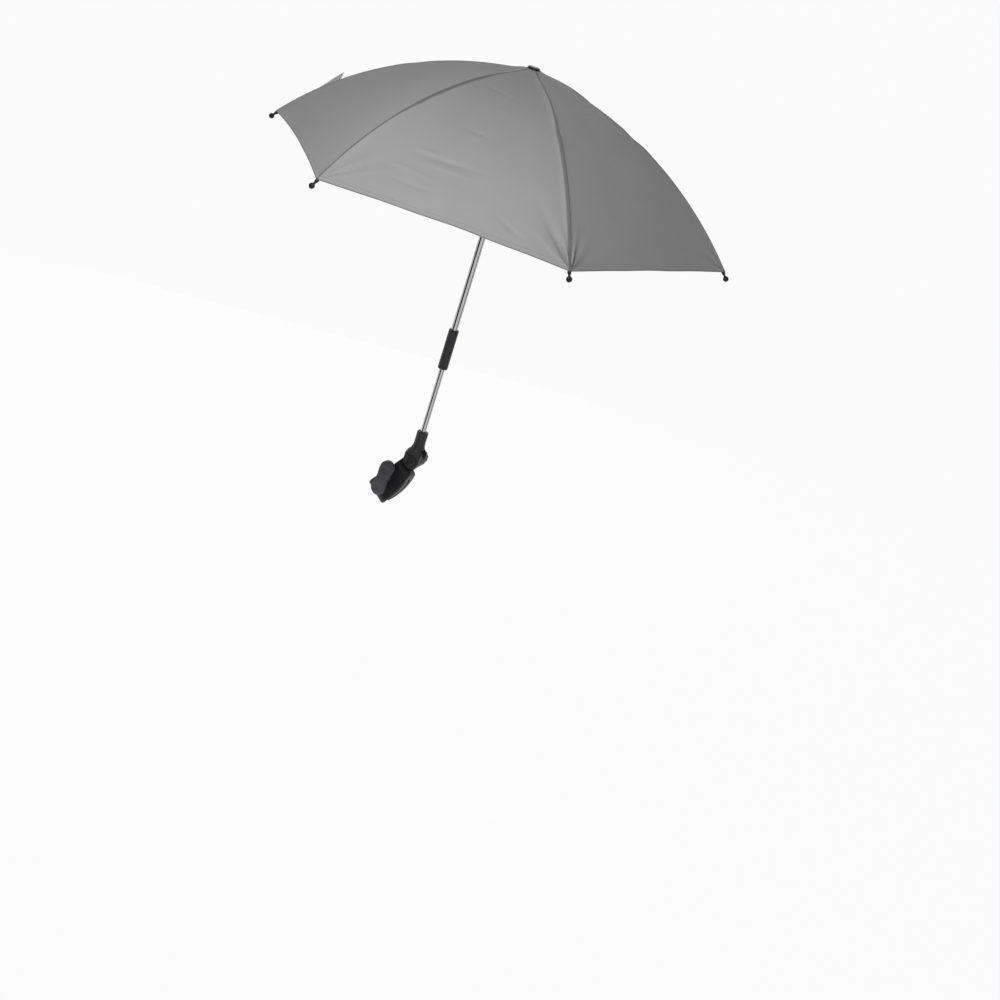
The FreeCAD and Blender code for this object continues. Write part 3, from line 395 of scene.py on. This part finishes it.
# Seam over each rib: how far it stands up, and its half width before and after the rib
CREST = (
    (0.9, 3.5, 3.5),
    (1.2, 3.5, 3.5),
    (1.2, 3.5, 3.5),
    (0.9, 3.5, 3.5),
    (2.0, 6.0, 3.2),
    (1.6, 5.0, 3.0),
)
CREST_AT_TIP = 0.9  # how far every seam stands up at the cloth's corner
CREST_GROWTH = 4  # a seam reaches its full height at one part in this many of its length
# Dip of the cloth beside a rib, before and after it, and how far from the rib it lies deepest
DIP = (
    (0.0, 0.2, 9.0),
    (0.6, 0.6, 9.0),
    (0.6, 0.6, 9.0),
    (0.2, 0.0, 9.0),
    (1.4, 0.2, 9.0),
    (1.6, 0.3, 9.0),
)
CAP_FADE = 110.0  # from the crown to where the dips are full
TIP_FADE = 60.0  # from the corner to where seams and dips are full
# Tacking of the cloth to each rib at its stretcher's joint, and the fullness outside of it
TACK = (1.2, 0.8, 0.8, 0.5, 0.35, 0.7)
TACK_LENGTH = 12.0
TACK_WIDTH = 9.0
PUFF_SHARE = 0.5
PUFF_FROM_TACK = 24.0
PUFF_SIZE = 14.0
# Turning in of each panel's hem (out where negative): depth and reach
CURL = ((1.5, 20.0), (1.5, 20.0), (1.5, 20.0), (-3.0, 26.0), (0.3, 20.0), (0.5, 20.0))
CURL_BREADTH = 0.6  # below 1 spreads the turn towards the corners
PEAK = 2.8  # how far the cloth is drawn up to the cap
PEAK_REACH = 13.0
SETTLE = 1.1  # how far the cloth comes down onto the rib towards the tip
SETTLE_FROM = 190.0
# Slight waves of the whole cloth: height, and the lengths of the three waves across and along
WAVE_HEIGHT = 0.22
WAVES = ((21.0, 34.0), (28.0, 43.0), (35.0, 52.0))
WAVE_TURN = 2.1  # from one wave to the next, in radians
PANEL_TURN = 1.7  # from one panel to the next
# Waves of the hem's edge
HEM_WAVE_HEIGHT = 0.8
HEM_WAVE_REACH = 22.0
HEM_WAVE_LENGTH = 17.0
HEM_WAVE_TURN = 1.3  # from one panel to the next
# Tension creases that fan out of the cloth's corners, for each rib and the side after it (1) or
# before it (-1): turn from the rib in degrees, height, width in degrees, reach
CREASES = {
    (1, -1): ((13, -1.0, 3.5, 55), (24, 0.8, 4, 50), (44, -2.8, 7, 28), (66, 0.9, 6, 45)),
    (1, 1): ((16, -0.7, 4, 60), (38, 0.6, 5, 60)),
    (2, -1): ((18, -0.7, 5, 60), (38, 0.6, 5, 50)),
    (2, 1): ((20, 0.6, 5, 70), (42, -0.7, 6, 50)),
    (3, -1): ((15, -0.7, 5, 60), (38, 0.6, 5, 55)),
    (3, 1): ((18, -0.7, 5, 60), (42, 0.6, 6, 55)),
    (4, -1): ((18, -0.6, 5, 60), (40, 0.5, 5, 60)),
    (4, 1): ((15, 0.8, 3, 75), (25, -0.8, 3, 65), (34, 0.8, 3, 65), (48, -0.5, 4, 50)),
    (5, -1): ((20, 1.5, 2.6, 40), (32, -0.7, 4, 45)),
    (5, 1): ((13, -0.6, 3, 60), (26, 0.8, 3, 75), (38, -0.8, 3, 70), (50, 0.7, 4, 75)),
    (6, -1): ((13, 2.2, 4.5, 48), (27, -4.0, 6, 55), (50, 0.9, 7, 55)),
    (6, 1): ((13, 2.8, 4.5, 48), (26, -2.4, 5, 50), (40, 2.2, 7, 52), (57, -1.3, 6, 48), (72, 0.8, 6, 50)),
}
CREASE_GAIN = 1.5
CREASE_ROOT = 22.0  # from the corner to where a crease is full
# Slack wrinkles inside each panel: place across and down, half length and half width,
# turn from the hem's line in degrees, height
WRINKLES = {
    1: ((0.45, 0.55, 40, 7, 12, 0.6),),
    2: ((0.50, 0.60, 45, 8, -8, 0.6),),
    3: ((0.55, 0.50, 40, 8, 10, -0.6),),
    4: ((0.45, 0.55, 40, 9, 8, 0.6), (0.60, 0.35, 30, 7, -10, -0.5)),
    5: (
        (0.40, 0.755, 34, 4.5, -3, -1.9),
        (0.41, 0.790, 28, 4.0, -1, 1.0),
        (0.29, 0.740, 12, 3.5, -3, 1.3),
        (0.44, 0.570, 13, 3.5, 1, -1.2),
        (0.32, 0.900, 22, 4.0, 2, -1.0),
        (0.27, 0.840, 26, 4.0, 6, 0.9),
        (0.75, 0.930, 15, 4.0, 26, -1.4),
        (0.36, 0.280, 24, 4.0, 12, -1.0),
        (0.60, 0.400, 30, 6.0, 4, 0.4),
        (0.82, 0.600, 60, 9.0, 74, 0.5),
    ),
    6: (
        (0.30, 0.48, 30, 6, -20, 0.5),
        (0.66, 0.30, 24, 5, 40, -0.7),
        (0.72, 0.36, 22, 4, 42, 0.6),
        (0.55, 0.72, 45, 9, 4, 0.5),
    ),
}
# Painted shade beside each rib, where the seam's dark line and groove are drawn wider: share of its own
# width at which the seam's line is drawn before and after the rib, and the stretch of the rib along which
# it shows
SEAM_SHADE_SPREAD = (
    (0.5, 0.7, 60.0, 260.0),
    (0.5, 0.7, 60.0, 260.0),
    (0.5, 0.7, 60.0, 260.0),
    (0.5, 0.7, 60.0, 260.0),
    (0.32, 0.32, 60.0, 235.0),
    (0.24, 1.0, 135.0, 400.0),
)
SEAM_SHADE_SPREAD_FADE = 60.0  # length over which it begins and ends
SEAM_SHADE_SPREAD_REACH = 14.0  # how far from the seam the cloth's places are drawn towards it
# Turned-under hem: steps onward from the edge and in under the cloth
HEM_LIP = (0.35, 0.35)
HEM_UNDER = (0.0, 0.8)
HEM_END = (-8.0, 0.9)
# Grid of the cloth: columns across half a panel, close together at the seam, and rows down it
SEAM_COLUMNS = (0.0, 0.0022, 0.0045, 0.007, 0.010, 0.0135, 0.018, 0.0235, 0.030, 0.038, 0.048)
COLUMNS = np.concatenate((SEAM_COLUMNS, np.linspace(0.06, 0.5, 26)))
HALF = len(COLUMNS)  # columns from a seam to the middle of a panel
ROWS = 150
ROW_EASE = 1.25  # above 1 puts the rows closer together towards the hem
NUDGE = 1e-4  # share of a panel by which its slope is taken
PATTERN_SHIFT = 0.7  # of the weave from one wedge to the next, in metres


def unit(vectors):
    return vectors / np.linalg.norm(vectors, axis=-1, keepdims=True)


def bell(offset, reach):
    return np.exp(-((offset / reach) ** 2))


def bent(panel, across, down):
    """Points of a panel's plain sheet, and their places along, their radius and the hem's place."""
    corner_radius = on_rib(cloth_length, CLOTH_LIFT)[0]
    bow = HEM_BOW[panel - 1] * (1 - (2 * across - 1) ** 2)
    end = along_at(corner_radius - bow / math.cos(HALF_STEP), CLOTH_LIFT)
    along = down * end
    radius, height = on_rib(along, CLOTH_LIFT)
    first, second = rib_angle(panel - 1), rib_angle(panel)
    x = radius * ((1 - across) * math.cos(first) + across * math.cos(second))
    y = radius * ((1 - across) * math.sin(first) + across * math.sin(second))
    return np.stack((x, y, height), axis=-1), along, radius, end


def outward(panel, across, down):
    """Directions that the plain sheet faces."""
    here = bent(panel, across, down)[0]
    right = bent(panel, across + NUDGE, down)[0]
    lower = bent(panel, across, down + NUDGE)[0]
    return unit(np.cross(lower - here, right - here))


def hung(panel, across, along, down):
    """Sag and fullness of a panel, its rise to the cap and its fall onto the ribs."""
    settle = np.clip((along - SETTLE_FROM) / (cloth_length - SETTLE_FROM), 0, 1)
    depth, early, late = SAG[panel - 1]
    deepest = early / (early + late)
    hollow = across ** early * (1 - across) ** late / (deepest ** early * (1 - deepest) ** late)
    lift = PEAK * bell(along, PEAK_REACH) - SETTLE * settle ** 2 * (3 - 2 * settle)
    lift -= depth * hollow * np.sin(np.pi * down ** SAG_SKEW)
    if panel in FULL:
        tall, place, wide = FULL[panel]
        lift += tall * bell(across - place, wide) * np.sin(np.pi * down ** FULL_SKEW)
    return lift


def beside_rib(rib, after, off, along, down):
    """Seam, dip, tacking and corner creases on the cloth after a rib (1) or before it (0)."""
    from_corner = cloth_length - along
    near_tip = np.clip(from_corner / TIP_FADE, 0, 1)
    near_cap = np.clip(along / CAP_FADE, 0, 1)
    crest, *half_widths = CREST[rib - 1]
    crest = CREST_AT_TIP + (crest - CREST_AT_TIP) * near_tip
    lift = crest * bell(off, half_widths[after]) * np.clip(down * CREST_GROWTH, 0, 1)
    *dips, deepest = DIP[rib - 1]
    lift -= dips[after] * off / deepest * np.exp(1 - off / deepest) * near_cap * near_tip
    tack = bell(along - JOINT_ALONG, TACK_LENGTH) * bell(off, TACK_WIDTH)
    puff = bell(along - JOINT_ALONG - PUFF_FROM_TACK, PUFF_SIZE) * bell(off, PUFF_SIZE)
    lift += TACK[rib - 1] * (PUFF_SHARE * puff - tack)
    away = np.hypot(off, from_corner)
    turn = np.degrees(np.arctan2(off, from_corner))
    root = np.clip(away / CREASE_ROOT, 0, 1)
    for at, tall, wide, reach in CREASES[(rib, 1 if after else -1)]:
        lift += CREASE_GAIN * tall * bell(turn - at, wide) * bell(away, reach) * root
    return lift


def wrinkled(panel, middle, along, end):
    """Slack wrinkles, where middle is the distance from the panel's middle line."""
    lift = np.zeros_like(middle)
    for across, down, long, wide, turn, tall in WRINKLES[panel]:
        along_spot = down * end
        dx = middle - on_rib(along_spot, CLOTH_LIFT)[0] * (across - 0.5)
        dy = along - along_spot
        turn = math.radians(turn)
        length = dx * math.cos(turn) + dy * math.sin(turn)
        breadth = dy * math.cos(turn) - dx * math.sin(turn)
        lift += tall * bell(length, long) * bell(breadth, wide)
    return lift


def waved(panel, across, middle, along, end):
    """Slight waves of the cloth, and the turn and the waves of its hem."""
    inside = np.clip(np.sin(np.pi * across), 0, 1)
    depth, reach = CURL[panel - 1]
    lift = -depth * bell(end - along, reach) * inside ** CURL_BREADTH
    for number, (wide, long) in enumerate(WAVES):
        phase = PANEL_TURN * panel + WAVE_TURN * number
        lift += WAVE_HEIGHT * np.sin(middle / wide + along / long + phase) * inside
    edge = HEM_WAVE_HEIGHT * np.sin(middle / HEM_WAVE_LENGTH + HEM_WAVE_TURN * panel)
    return lift + bell(end - along, HEM_WAVE_REACH) * inside * edge


def lifted(panel, across, along, radius, end):
    """How far the cloth stands off the plain sheet. A panel is as wide as its radius."""
    down = np.clip(along / end, 0, 1)
    middle = radius * (across - 0.5)
    following = panel % RIB_COUNT + 1
    lift = hung(panel, across, along, down)
    lift += beside_rib(panel, 1, radius * across, along, down)
    lift += beside_rib(following, 0, radius * (1 - across), along, down)
    lift += wrinkled(panel, middle, along, end)
    return lift + waved(panel, across, middle, along, end)


def panel_sheet(panel):
    """Points of a panel, their places along and across the cloth, and the hem's place."""
    columns = np.concatenate((COLUMNS, 1 - COLUMNS[-2::-1]))
    rows = 1 - (1 - np.linspace(0, 1, ROWS)) ** ROW_EASE
    across, down = np.meshgrid(columns, rows, indexing="ij")
    plain, along, radius, end = bent(panel, across, down)
    stand = lifted(panel, across, along, radius, end)[..., None]
    return plain + outward(panel, across, down) * stand, along, radius * (across - 0.5), end


def sheet_normals(sheets):
    """Directions that the finished panels face, shared where two panels meet over a rib."""
    facing = {}
    for panel, (points, *_) in sheets.items():
        facing[panel] = unit(np.cross(np.gradient(points, axis=1), np.gradient(points, axis=0)))
    for panel in sheets:
        following = panel % RIB_COUNT + 1
        shared = unit(facing[panel][-1] + facing[following][0])
        facing[panel][-1] = shared
        facing[following][0] = shared
    return facing


def grid_faces(columns, rows):
    index = np.arange(columns * rows).reshape(columns, rows)
    corners = (index[:-1, :-1], index[:-1, 1:], index[1:, 1:], index[1:, :-1])
    return np.stack(corners, axis=-1).reshape(-1, 4)


def mesh_of(name, verts, faces, material, smooth):
    mesh = bpy.data.meshes.new(name)
    mesh.from_pydata(np.asarray(verts).tolist(), [], faces)
    mesh.materials.append(material)
    if smooth:
        mesh.polygons.foreach_set("use_smooth", np.ones(len(faces), bool))
    return mesh


def show(name, data):
    obj = bpy.data.objects.new(name, data)
    scene.collection.objects.link(obj)
    return obj


def fold(obj):
    """Give the piece a mesh of its own."""
    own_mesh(obj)


def with_hem(points, directions):
    """The grid of a wedge with three more rows, which turn its hem under."""
    onward = unit(np.gradient(points, axis=1)[:, -1])
    edge, out = points[:, -1], directions[:, -1]
    rows = [points]
    facing = [directions]
    for (step, below), way in ((HEM_LIP, onward), (HEM_UNDER, -out), (HEM_END, -out)):
        rows.append((edge + onward * step - out * below)[:, None])
        facing.append(way[:, None])
    return np.concatenate(rows, axis=1), np.concatenate(facing, axis=1)


def cloth_places(number, halves):
    """Places on the weave, and places from seam and hem, for both halves of a wedge."""
    columns = 2 * HALF - 1
    weave = np.zeros((2, columns, ROWS, 2))
    sewn = np.zeros((2, columns, ROWS, 2))
    *shares, near, far = SEAM_SHADE_SPREAD[number - 1]
    spans = (slice(0, HALF), slice(HALF - 1, None))
    for side, (span, (_, along, cross, end)) in enumerate(zip(spans, halves)):
        weave[side, span, :, 0] = cross * MM + PATTERN_SHIFT * (number + side / 2)
        weave[side, span, :, 1] = along * MM
        # painted shade: the seam's dark line spreads wider beside the rib
        begins = np.clip((along - near) / SEAM_SHADE_SPREAD_FADE + 0.5, 0, 1)
        ends = np.clip((far - along) / SEAM_SHADE_SPREAD_FADE + 0.5, 0, 1)
        shade_spread = (1 - shares[side]) * begins * ends
        half_width = np.abs(cross[0 if side else -1])
        from_seam = half_width - np.abs(cross)
        from_seam -= shade_spread * SEAM_SHADE_SPREAD_REACH * (1 - np.exp(-from_seam / SEAM_SHADE_SPREAD_REACH))
        sewn[side, span, :, 0] = from_seam * MM
        sewn[side, span, :, 1] = (end - along) * MM
    return weave, sewn


def lay_places(mesh, layer, places, rows):
    """Give the faces of a wedge their places. Each half has its own, and the turned hem the edge's."""
    hem = [places[:, :, -1:]] * (rows - ROWS)
    places = np.concatenate([places] + hem, axis=2)
    columns = places.shape[1]
    column = np.repeat(np.arange(columns - 1), rows - 1)
    row = np.tile(np.arange(rows - 1), columns - 1)
    side = (column >= HALF - 1).astype(int)
    corners = [places[side, column + dc, row + dr] for dc, dr in ((0, 0), (0, 1), (1, 1), (1, 0))]
    made = mesh.uv_layers.new(name=layer)
    made.data.foreach_set("uv", np.stack(corners, axis=1).reshape(-1))


def wedge(number):
    """The cloth on one rib, from the middle of the panel before it to that of the panel after."""
    name = "canopy_%d" % number
    before = (number - 2) % RIB_COUNT + 1
    halves = (
        [layer[HALF - 1:] for layer in panels[before]],
        [layer[:HALF] for layer in panels[number]],
    )
    points = np.concatenate((halves[0][0], halves[1][0][1:]))
    directions = np.concatenate((normals[before][HALF - 1:], normals[number][1:HALF]))
    points, directions = with_hem(points, directions)
    columns, rows = points.shape[:2]
    faces = grid_faces(columns, rows).tolist()
    mesh = mesh_of(name, to_row(points).reshape(-1, 3), faces, cloth, smooth=True)
    for layer, places in zip(("weave", "sewn"), cloth_places(number, halves)):
        lay_places(mesh, layer, places, rows)
    mesh.normals_split_custom_set_from_vertices(directions.reshape(-1, 3).tolist())
    obj = show(name, mesh)
    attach(obj, "rib_arm_%d" % number)
    fold(obj)
    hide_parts("canopy")


panels = {panel: panel_sheet(panel) for panel in range(1, RIB_COUNT + 1)}
normals = sheet_normals(panels)
for number in range(1, RIB_COUNT + 1):
    wedge(number)

# Rosette under the cap, where the panels meet

# Its rings: place along the rib, and lift over the rib's middle line
ROSETTE_RINGS = ((-2.4, 5.8), (-1.0, 6.2), (0.5, 6.3), (2.5, 6.1), (6.0, 5.5), (11.0, 4.3))
ROSETTE_STEPS = 72
NO_HEM = 0.3  # in metres, far enough from a hem that none of its lines is drawn


def rosette():
    """A six-sided collar of cloth, with its corners over the ribs."""
    turn = 2 * math.pi * np.arange(ROSETTE_STEPS + 1) / ROSETTE_STEPS
    to_rib = (np.degrees(turn) - RIB_PHASE) % RIB_STEP - RIB_STEP / 2
    narrow = math.cos(HALF_STEP) / np.cos(np.radians(to_rib))
    rings = []
    for along, lift in ROSETTE_RINGS:
        radius, height = on_rib(along, lift)
        ring = (radius * narrow * np.cos(turn), radius * narrow * np.sin(turn), np.full(turn.shape, height))
        rings.append(np.stack(ring, axis=-1))
    points = to_row(np.stack(rings, axis=1))
    faces = grid_faces(ROSETTE_STEPS + 1, len(ROSETTE_RINGS)).tolist()
    mesh = mesh_of("canopy_rosette", points.reshape(-1, 3), faces, cloth, smooth=True)
    for layer, shift in (("weave", 0.0), ("sewn", NO_HEM)):
        made = mesh.uv_layers.new(name=layer)
        for loop in mesh.loops:
            spot = mesh.vertices[loop.vertex_index].co
            made.data[loop.index].uv = (spot.x, spot.y + shift)
    obj = show("canopy_rosette", mesh)
    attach(obj, "upper_shaft")
    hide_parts("canopy")


rosette()

# Ball tips: a sleeve over the end of the rib, a drawn-in neck and a ball

# Outline of sleeve and neck: place from the ball's middle along the rib, and radius
NECK_RADIUS = 1.8
SLEEVE = (
    (-13.0, 2.3),
    (-13.0, 2.66),
    (-9.4, 2.66),
    (-8.2, 2.45),
    (-7.0, 2.0),
    (-5.8, 1.7),
    (-4.7, 1.66),
    (-4.1, NECK_RADIUS),
)
BALL_RADIUS = 4.2
BALL_STEPS = 16
BALL_GROOVE = 0.06  # depth of the mould's parting line round the ball
BALL_POLE = 0.02  # smallest radius, so that the last ring stays open
TIP_SIDES = 40


def tip_outline():
    outline = list(SLEEVE)
    start = math.asin(NECK_RADIUS / BALL_RADIUS)
    for step in range(BALL_STEPS + 1):
        swing = start + (math.pi - start) * step / BALL_STEPS
        groove = BALL_GROOVE if step == BALL_STEPS // 2 else 0.0
        radius = max(BALL_POLE, (BALL_RADIUS - groove) * math.sin(swing))
        outline.append((-BALL_RADIUS * math.cos(swing), radius))
    return outline


def ball_tip(number):
    name = "ball_tip_%d" % number
    turn = rib_angle(number - 1)
    radius, height = on_rib(rib_length, 0.0)
    centre = np.array((radius * math.cos(turn), radius * math.sin(turn), height))
    level = math.cos(outer_slope)
    along = np.array((level * math.cos(turn), level * math.sin(turn), -math.sin(outer_slope)))
    side = np.array((-math.sin(turn), math.cos(turn), 0.0))
    over = np.cross(along, side)
    points, faces = [], []
    outline = tip_outline()
    for reach, wide in outline:
        for step in range(TIP_SIDES):
            way = 2 * math.pi * step / TIP_SIDES
            points.append(centre + along * reach + (side * math.cos(way) + over * math.sin(way)) * wide)
    for ring in range(len(outline) - 1):
        here, beyond = ring * TIP_SIDES, (ring + 1) * TIP_SIDES
        for step in range(TIP_SIDES):
            after = (step + 1) % TIP_SIDES
            faces.append((here + step, here + after, beyond + after, beyond + step))
    faces.append(tuple(range(len(points) - TIP_SIDES, len(points))))
    obj = show(name, mesh_of(name, to_row(np.array(points)), faces, gloss_black, smooth=True))
    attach(obj, "rib_arm_%d" % number)
    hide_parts("rib_tip_%d" % number)


for number in range(1, RIB_COUNT + 1):
    ball_tip(number)

# Closing strap on the panel before the fourth rib

STRAP_PANEL = 3
STRAP_FROM_TIP = 78.0
STRAP_FROM_RIB = 5.0
STRAP_LENGTH = 42.0
STRAP_WIDTH = 13.0
STRAP_THICKNESS = 1.2
STRAP_SEWN = 0.7  # stand of its sewn end over the cloth
STRAP_RISE = 1.6  # how far it rises at once from its sewn end
STRAP_RISE_RATE = 5.0
STRAP_STAND = 0.5  # further rise of its near edge up to the free end
STRAP_TWIST = math.radians(52.0)  # of the free end
STRAP_TWIST_SEWN = 0.45  # share of the twist that the sewn end has
STRAP_STEPS = 28
STRAP_SIDES = 7


def strap_spot(share, wide):
    """A point of the strap's underside, with the way it faces, at a share of its length and width."""
    along = rib_length - STRAP_FROM_TIP - STRAP_LENGTH * share
    radius = float(on_rib(along, CLOTH_LIFT)[0])
    twist = STRAP_TWIST * (STRAP_TWIST_SEWN + (1 - STRAP_TWIST_SEWN) * share)
    reach = STRAP_WIDTH * wide
    across = np.array(1 - (STRAP_FROM_RIB + reach * math.cos(twist)) / radius)
    corner_end = along_at(on_rib(cloth_length, CLOTH_LIFT)[0], CLOTH_LIFT)
    down = np.array(along / corner_end)
    spot, *place = bent(STRAP_PANEL, across, down)
    out = outward(STRAP_PANEL, across, down)
    rise = STRAP_RISE * min(1.0, STRAP_RISE_RATE * share) + STRAP_STAND * share
    stand = STRAP_SEWN + rise + reach * math.sin(twist)
    return spot + out * (stand + float(lifted(STRAP_PANEL, across, *place))), out


def strap():
    """A short band sewn down at its outer end, whose free end stands off the cloth."""
    name = "closing_strap_band"
    count = 2 * (STRAP_SIDES + 1)
    points, faces = [], []
    for step in range(STRAP_STEPS + 1):
        row = [strap_spot(step / STRAP_STEPS, side / STRAP_SIDES) for side in range(STRAP_SIDES + 1)]
        points += [spot + out * STRAP_THICKNESS for spot, out in row]
        points += [spot for spot, _ in reversed(row)]
    for step in range(STRAP_STEPS):
        here, beyond = step * count, (step + 1) * count
        for side in range(count):
            after = (side + 1) % count
            faces.append((here + side, beyond + side, beyond + after, here + after))
    faces.append(tuple(range(count)))
    faces.append(tuple(reversed(range(STRAP_STEPS * count, (STRAP_STEPS + 1) * count))))
    mesh = mesh_of(name, to_row(np.array(points)), faces, webbing, smooth=False)
    layer = mesh.uv_layers.new(name="weave")
    for corner in mesh.loops:
        step, side = divmod(corner.vertex_index, count)
        side = min(side, count - 1 - side)
        place = (STRAP_WIDTH * MM * side / STRAP_SIDES, STRAP_LENGTH * MM * step / STRAP_STEPS)
        layer.data[corner.index].uv = place
    obj = show(name, mesh)
    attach(obj, "rib_arm_4")
    fold(obj)
    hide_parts("closing_strap")


strap()

# Camera, in metres, at the angle that a fit to the photo's ball tips, cap and shaft gives

RIGHT = Vector((0.85006, 0.43911, 0.29083))
UP = Vector((-0.42023, 0.23258, 0.87711))
BACK = Vector((0.31750, -0.86781, 0.38223))
EYE = Vector((0.97778, -2.14590, 1.01277))
TARGET = Vector((0.0352, 0.0, 0.507))  # on the shaft under the canopy, where the lamps point
LENS = 57.6
SENSOR = 36.0
FAR_CLIP = 200.0

camera = bpy.data.cameras.new("camera")
camera.sensor_fit = "HORIZONTAL"
camera.sensor_width = SENSOR
camera.lens = LENS
camera.clip_end = FAR_CLIP
viewer = show("camera", camera)
viewer.matrix_world = Matrix.Translation(EYE) @ Matrix((RIGHT, UP, BACK)).transposed().to_4x4()
scene.camera = viewer

# Floor and backdrop: pale where they are seen, with a plain level of light on the object

FLOOR = -0.6
FLOOR_SPAN = 60.0
FLOOR_GLOW = 0.955  # share of plain white in the floor as it is seen, the rest keeps the shadow
SKY_LIGHT = 0.28
SKY_SEEN = 0.965


def seen_share(tree):
    """1 for rays from the camera, also by way of gloss or glass, and 0 for the object's light."""
    path = put(tree, "ShaderNodeLightPath")
    seen = maths(tree, "MAXIMUM", path.outputs["Is Camera Ray"], path.outputs["Is Glossy Ray"])
    return maths(tree, "MAXIMUM", seen, path.outputs["Is Transmission Ray"])


def floor_material():
    made, tree, bsdf = tree_of("floor")
    feed(tree, bsdf, {"Base Color": grey(0.8), "Roughness": 0.9, "Specular IOR Level": 0.1})
    glow = put(tree, "ShaderNodeEmission", {"Color": grey(1.0), "Strength": 1.0})
    share = times(tree, seen_share(tree), FLOOR_GLOW)
    mixed = put(tree, "ShaderNodeMixShader", {0: share, 1: bsdf.outputs[0], 2: glow.outputs[0]})
    feed(tree, tree.nodes["Material Output"], {"Surface": mixed.outputs[0]})
    return made


floor_corners = [
    (x * FLOOR_SPAN, y * FLOOR_SPAN, FLOOR) for x, y in ((-1, -1), (1, -1), (1, 1), (-1, 1))
]
floor_mesh = mesh_of("floor", floor_corners, [(0, 1, 2, 3)], floor_material(), smooth=False)
floor = show("floor", floor_mesh)

world = bpy.data.worlds.new("world")
scene.world = world
world.use_nodes = True
sky_tree = world.node_tree
sky_level = ramp(sky_tree, seen_share(sky_tree), 0.0, 1.0, SKY_LIGHT, SKY_SEEN, smooth=False)
feed(sky_tree, sky_tree.nodes["Background"], {"Color": grey(1.0), "Strength": sky_level})

# Light, in metres and watts

BOUNCE_GAP = 0.02  # lamp over the floor
FLAG_TOP = 1.2
FLAG_DISTANCE = 1.3


def area_lamp(name, size, power):
    lamp = bpy.data.lights.new(name, "AREA")
    lamp.shape = "SQUARE"
    lamp.size = size
    lamp.energy = power
    obj = show(name, lamp)
    obj.visible_camera = False
    return obj


def softbox(name, right, up, back, distance, size, power):
    """A square lamp placed by the camera's own right, up and back ways."""
    obj = area_lamp(name, size, power)
    way = (RIGHT * right + UP * up + BACK * back).normalized()
    obj.location = TARGET + way * distance
    obj.rotation_mode = "QUATERNION"
    obj.rotation_quaternion = way.to_track_quat("Z", "Y")


def bounce(size, level):
    """The light that a bright floor sends up under the canopy."""
    obj = area_lamp("bounce", size, level * math.pi * size ** 2)
    obj.location = (TARGET.x, TARGET.y, FLOOR + BOUNCE_GAP)
    obj.rotation_euler = (math.pi, 0.0, 0.0)
    obj.visible_glossy = False


def flag(name, turn, half):
    """A dark card standing beside the set, which only the gloss of metal and plastic shows."""
    middle = math.atan2(BACK.y, BACK.x) + math.radians(turn)
    points = []
    for height in (FLOOR, FLAG_TOP):
        for side in (-half, half):
            way = middle + math.radians(side)
            x = TARGET.x + FLAG_DISTANCE * math.cos(way)
            y = TARGET.y + FLAG_DISTANCE * math.sin(way)
            points.append((x, y, height))
    made, tree, bsdf = tree_of(name)
    feed(tree, bsdf, {"Base Color": grey(0.03), "Roughness": 1.0})
    obj = show(name, mesh_of(name, points, [(0, 1, 3, 2)], made, smooth=False))
    for ray in ("camera", "diffuse", "transmission", "volume_scatter", "shadow"):
        setattr(obj, "visible_" + ray, False)


softbox("key", right=-0.129, up=0.218, back=0.967, distance=0.75, size=0.4, power=2.6)
softbox("fill", right=-0.1, up=0.3, back=-0.95, distance=2.6, size=1.6, power=11.0)
bounce(size=40.0, level=1.12)
flag("flag_left", turn=-40, half=26)
flag("flag_right", turn=76, half=12)

scene.view_settings.view_transform = "Standard"
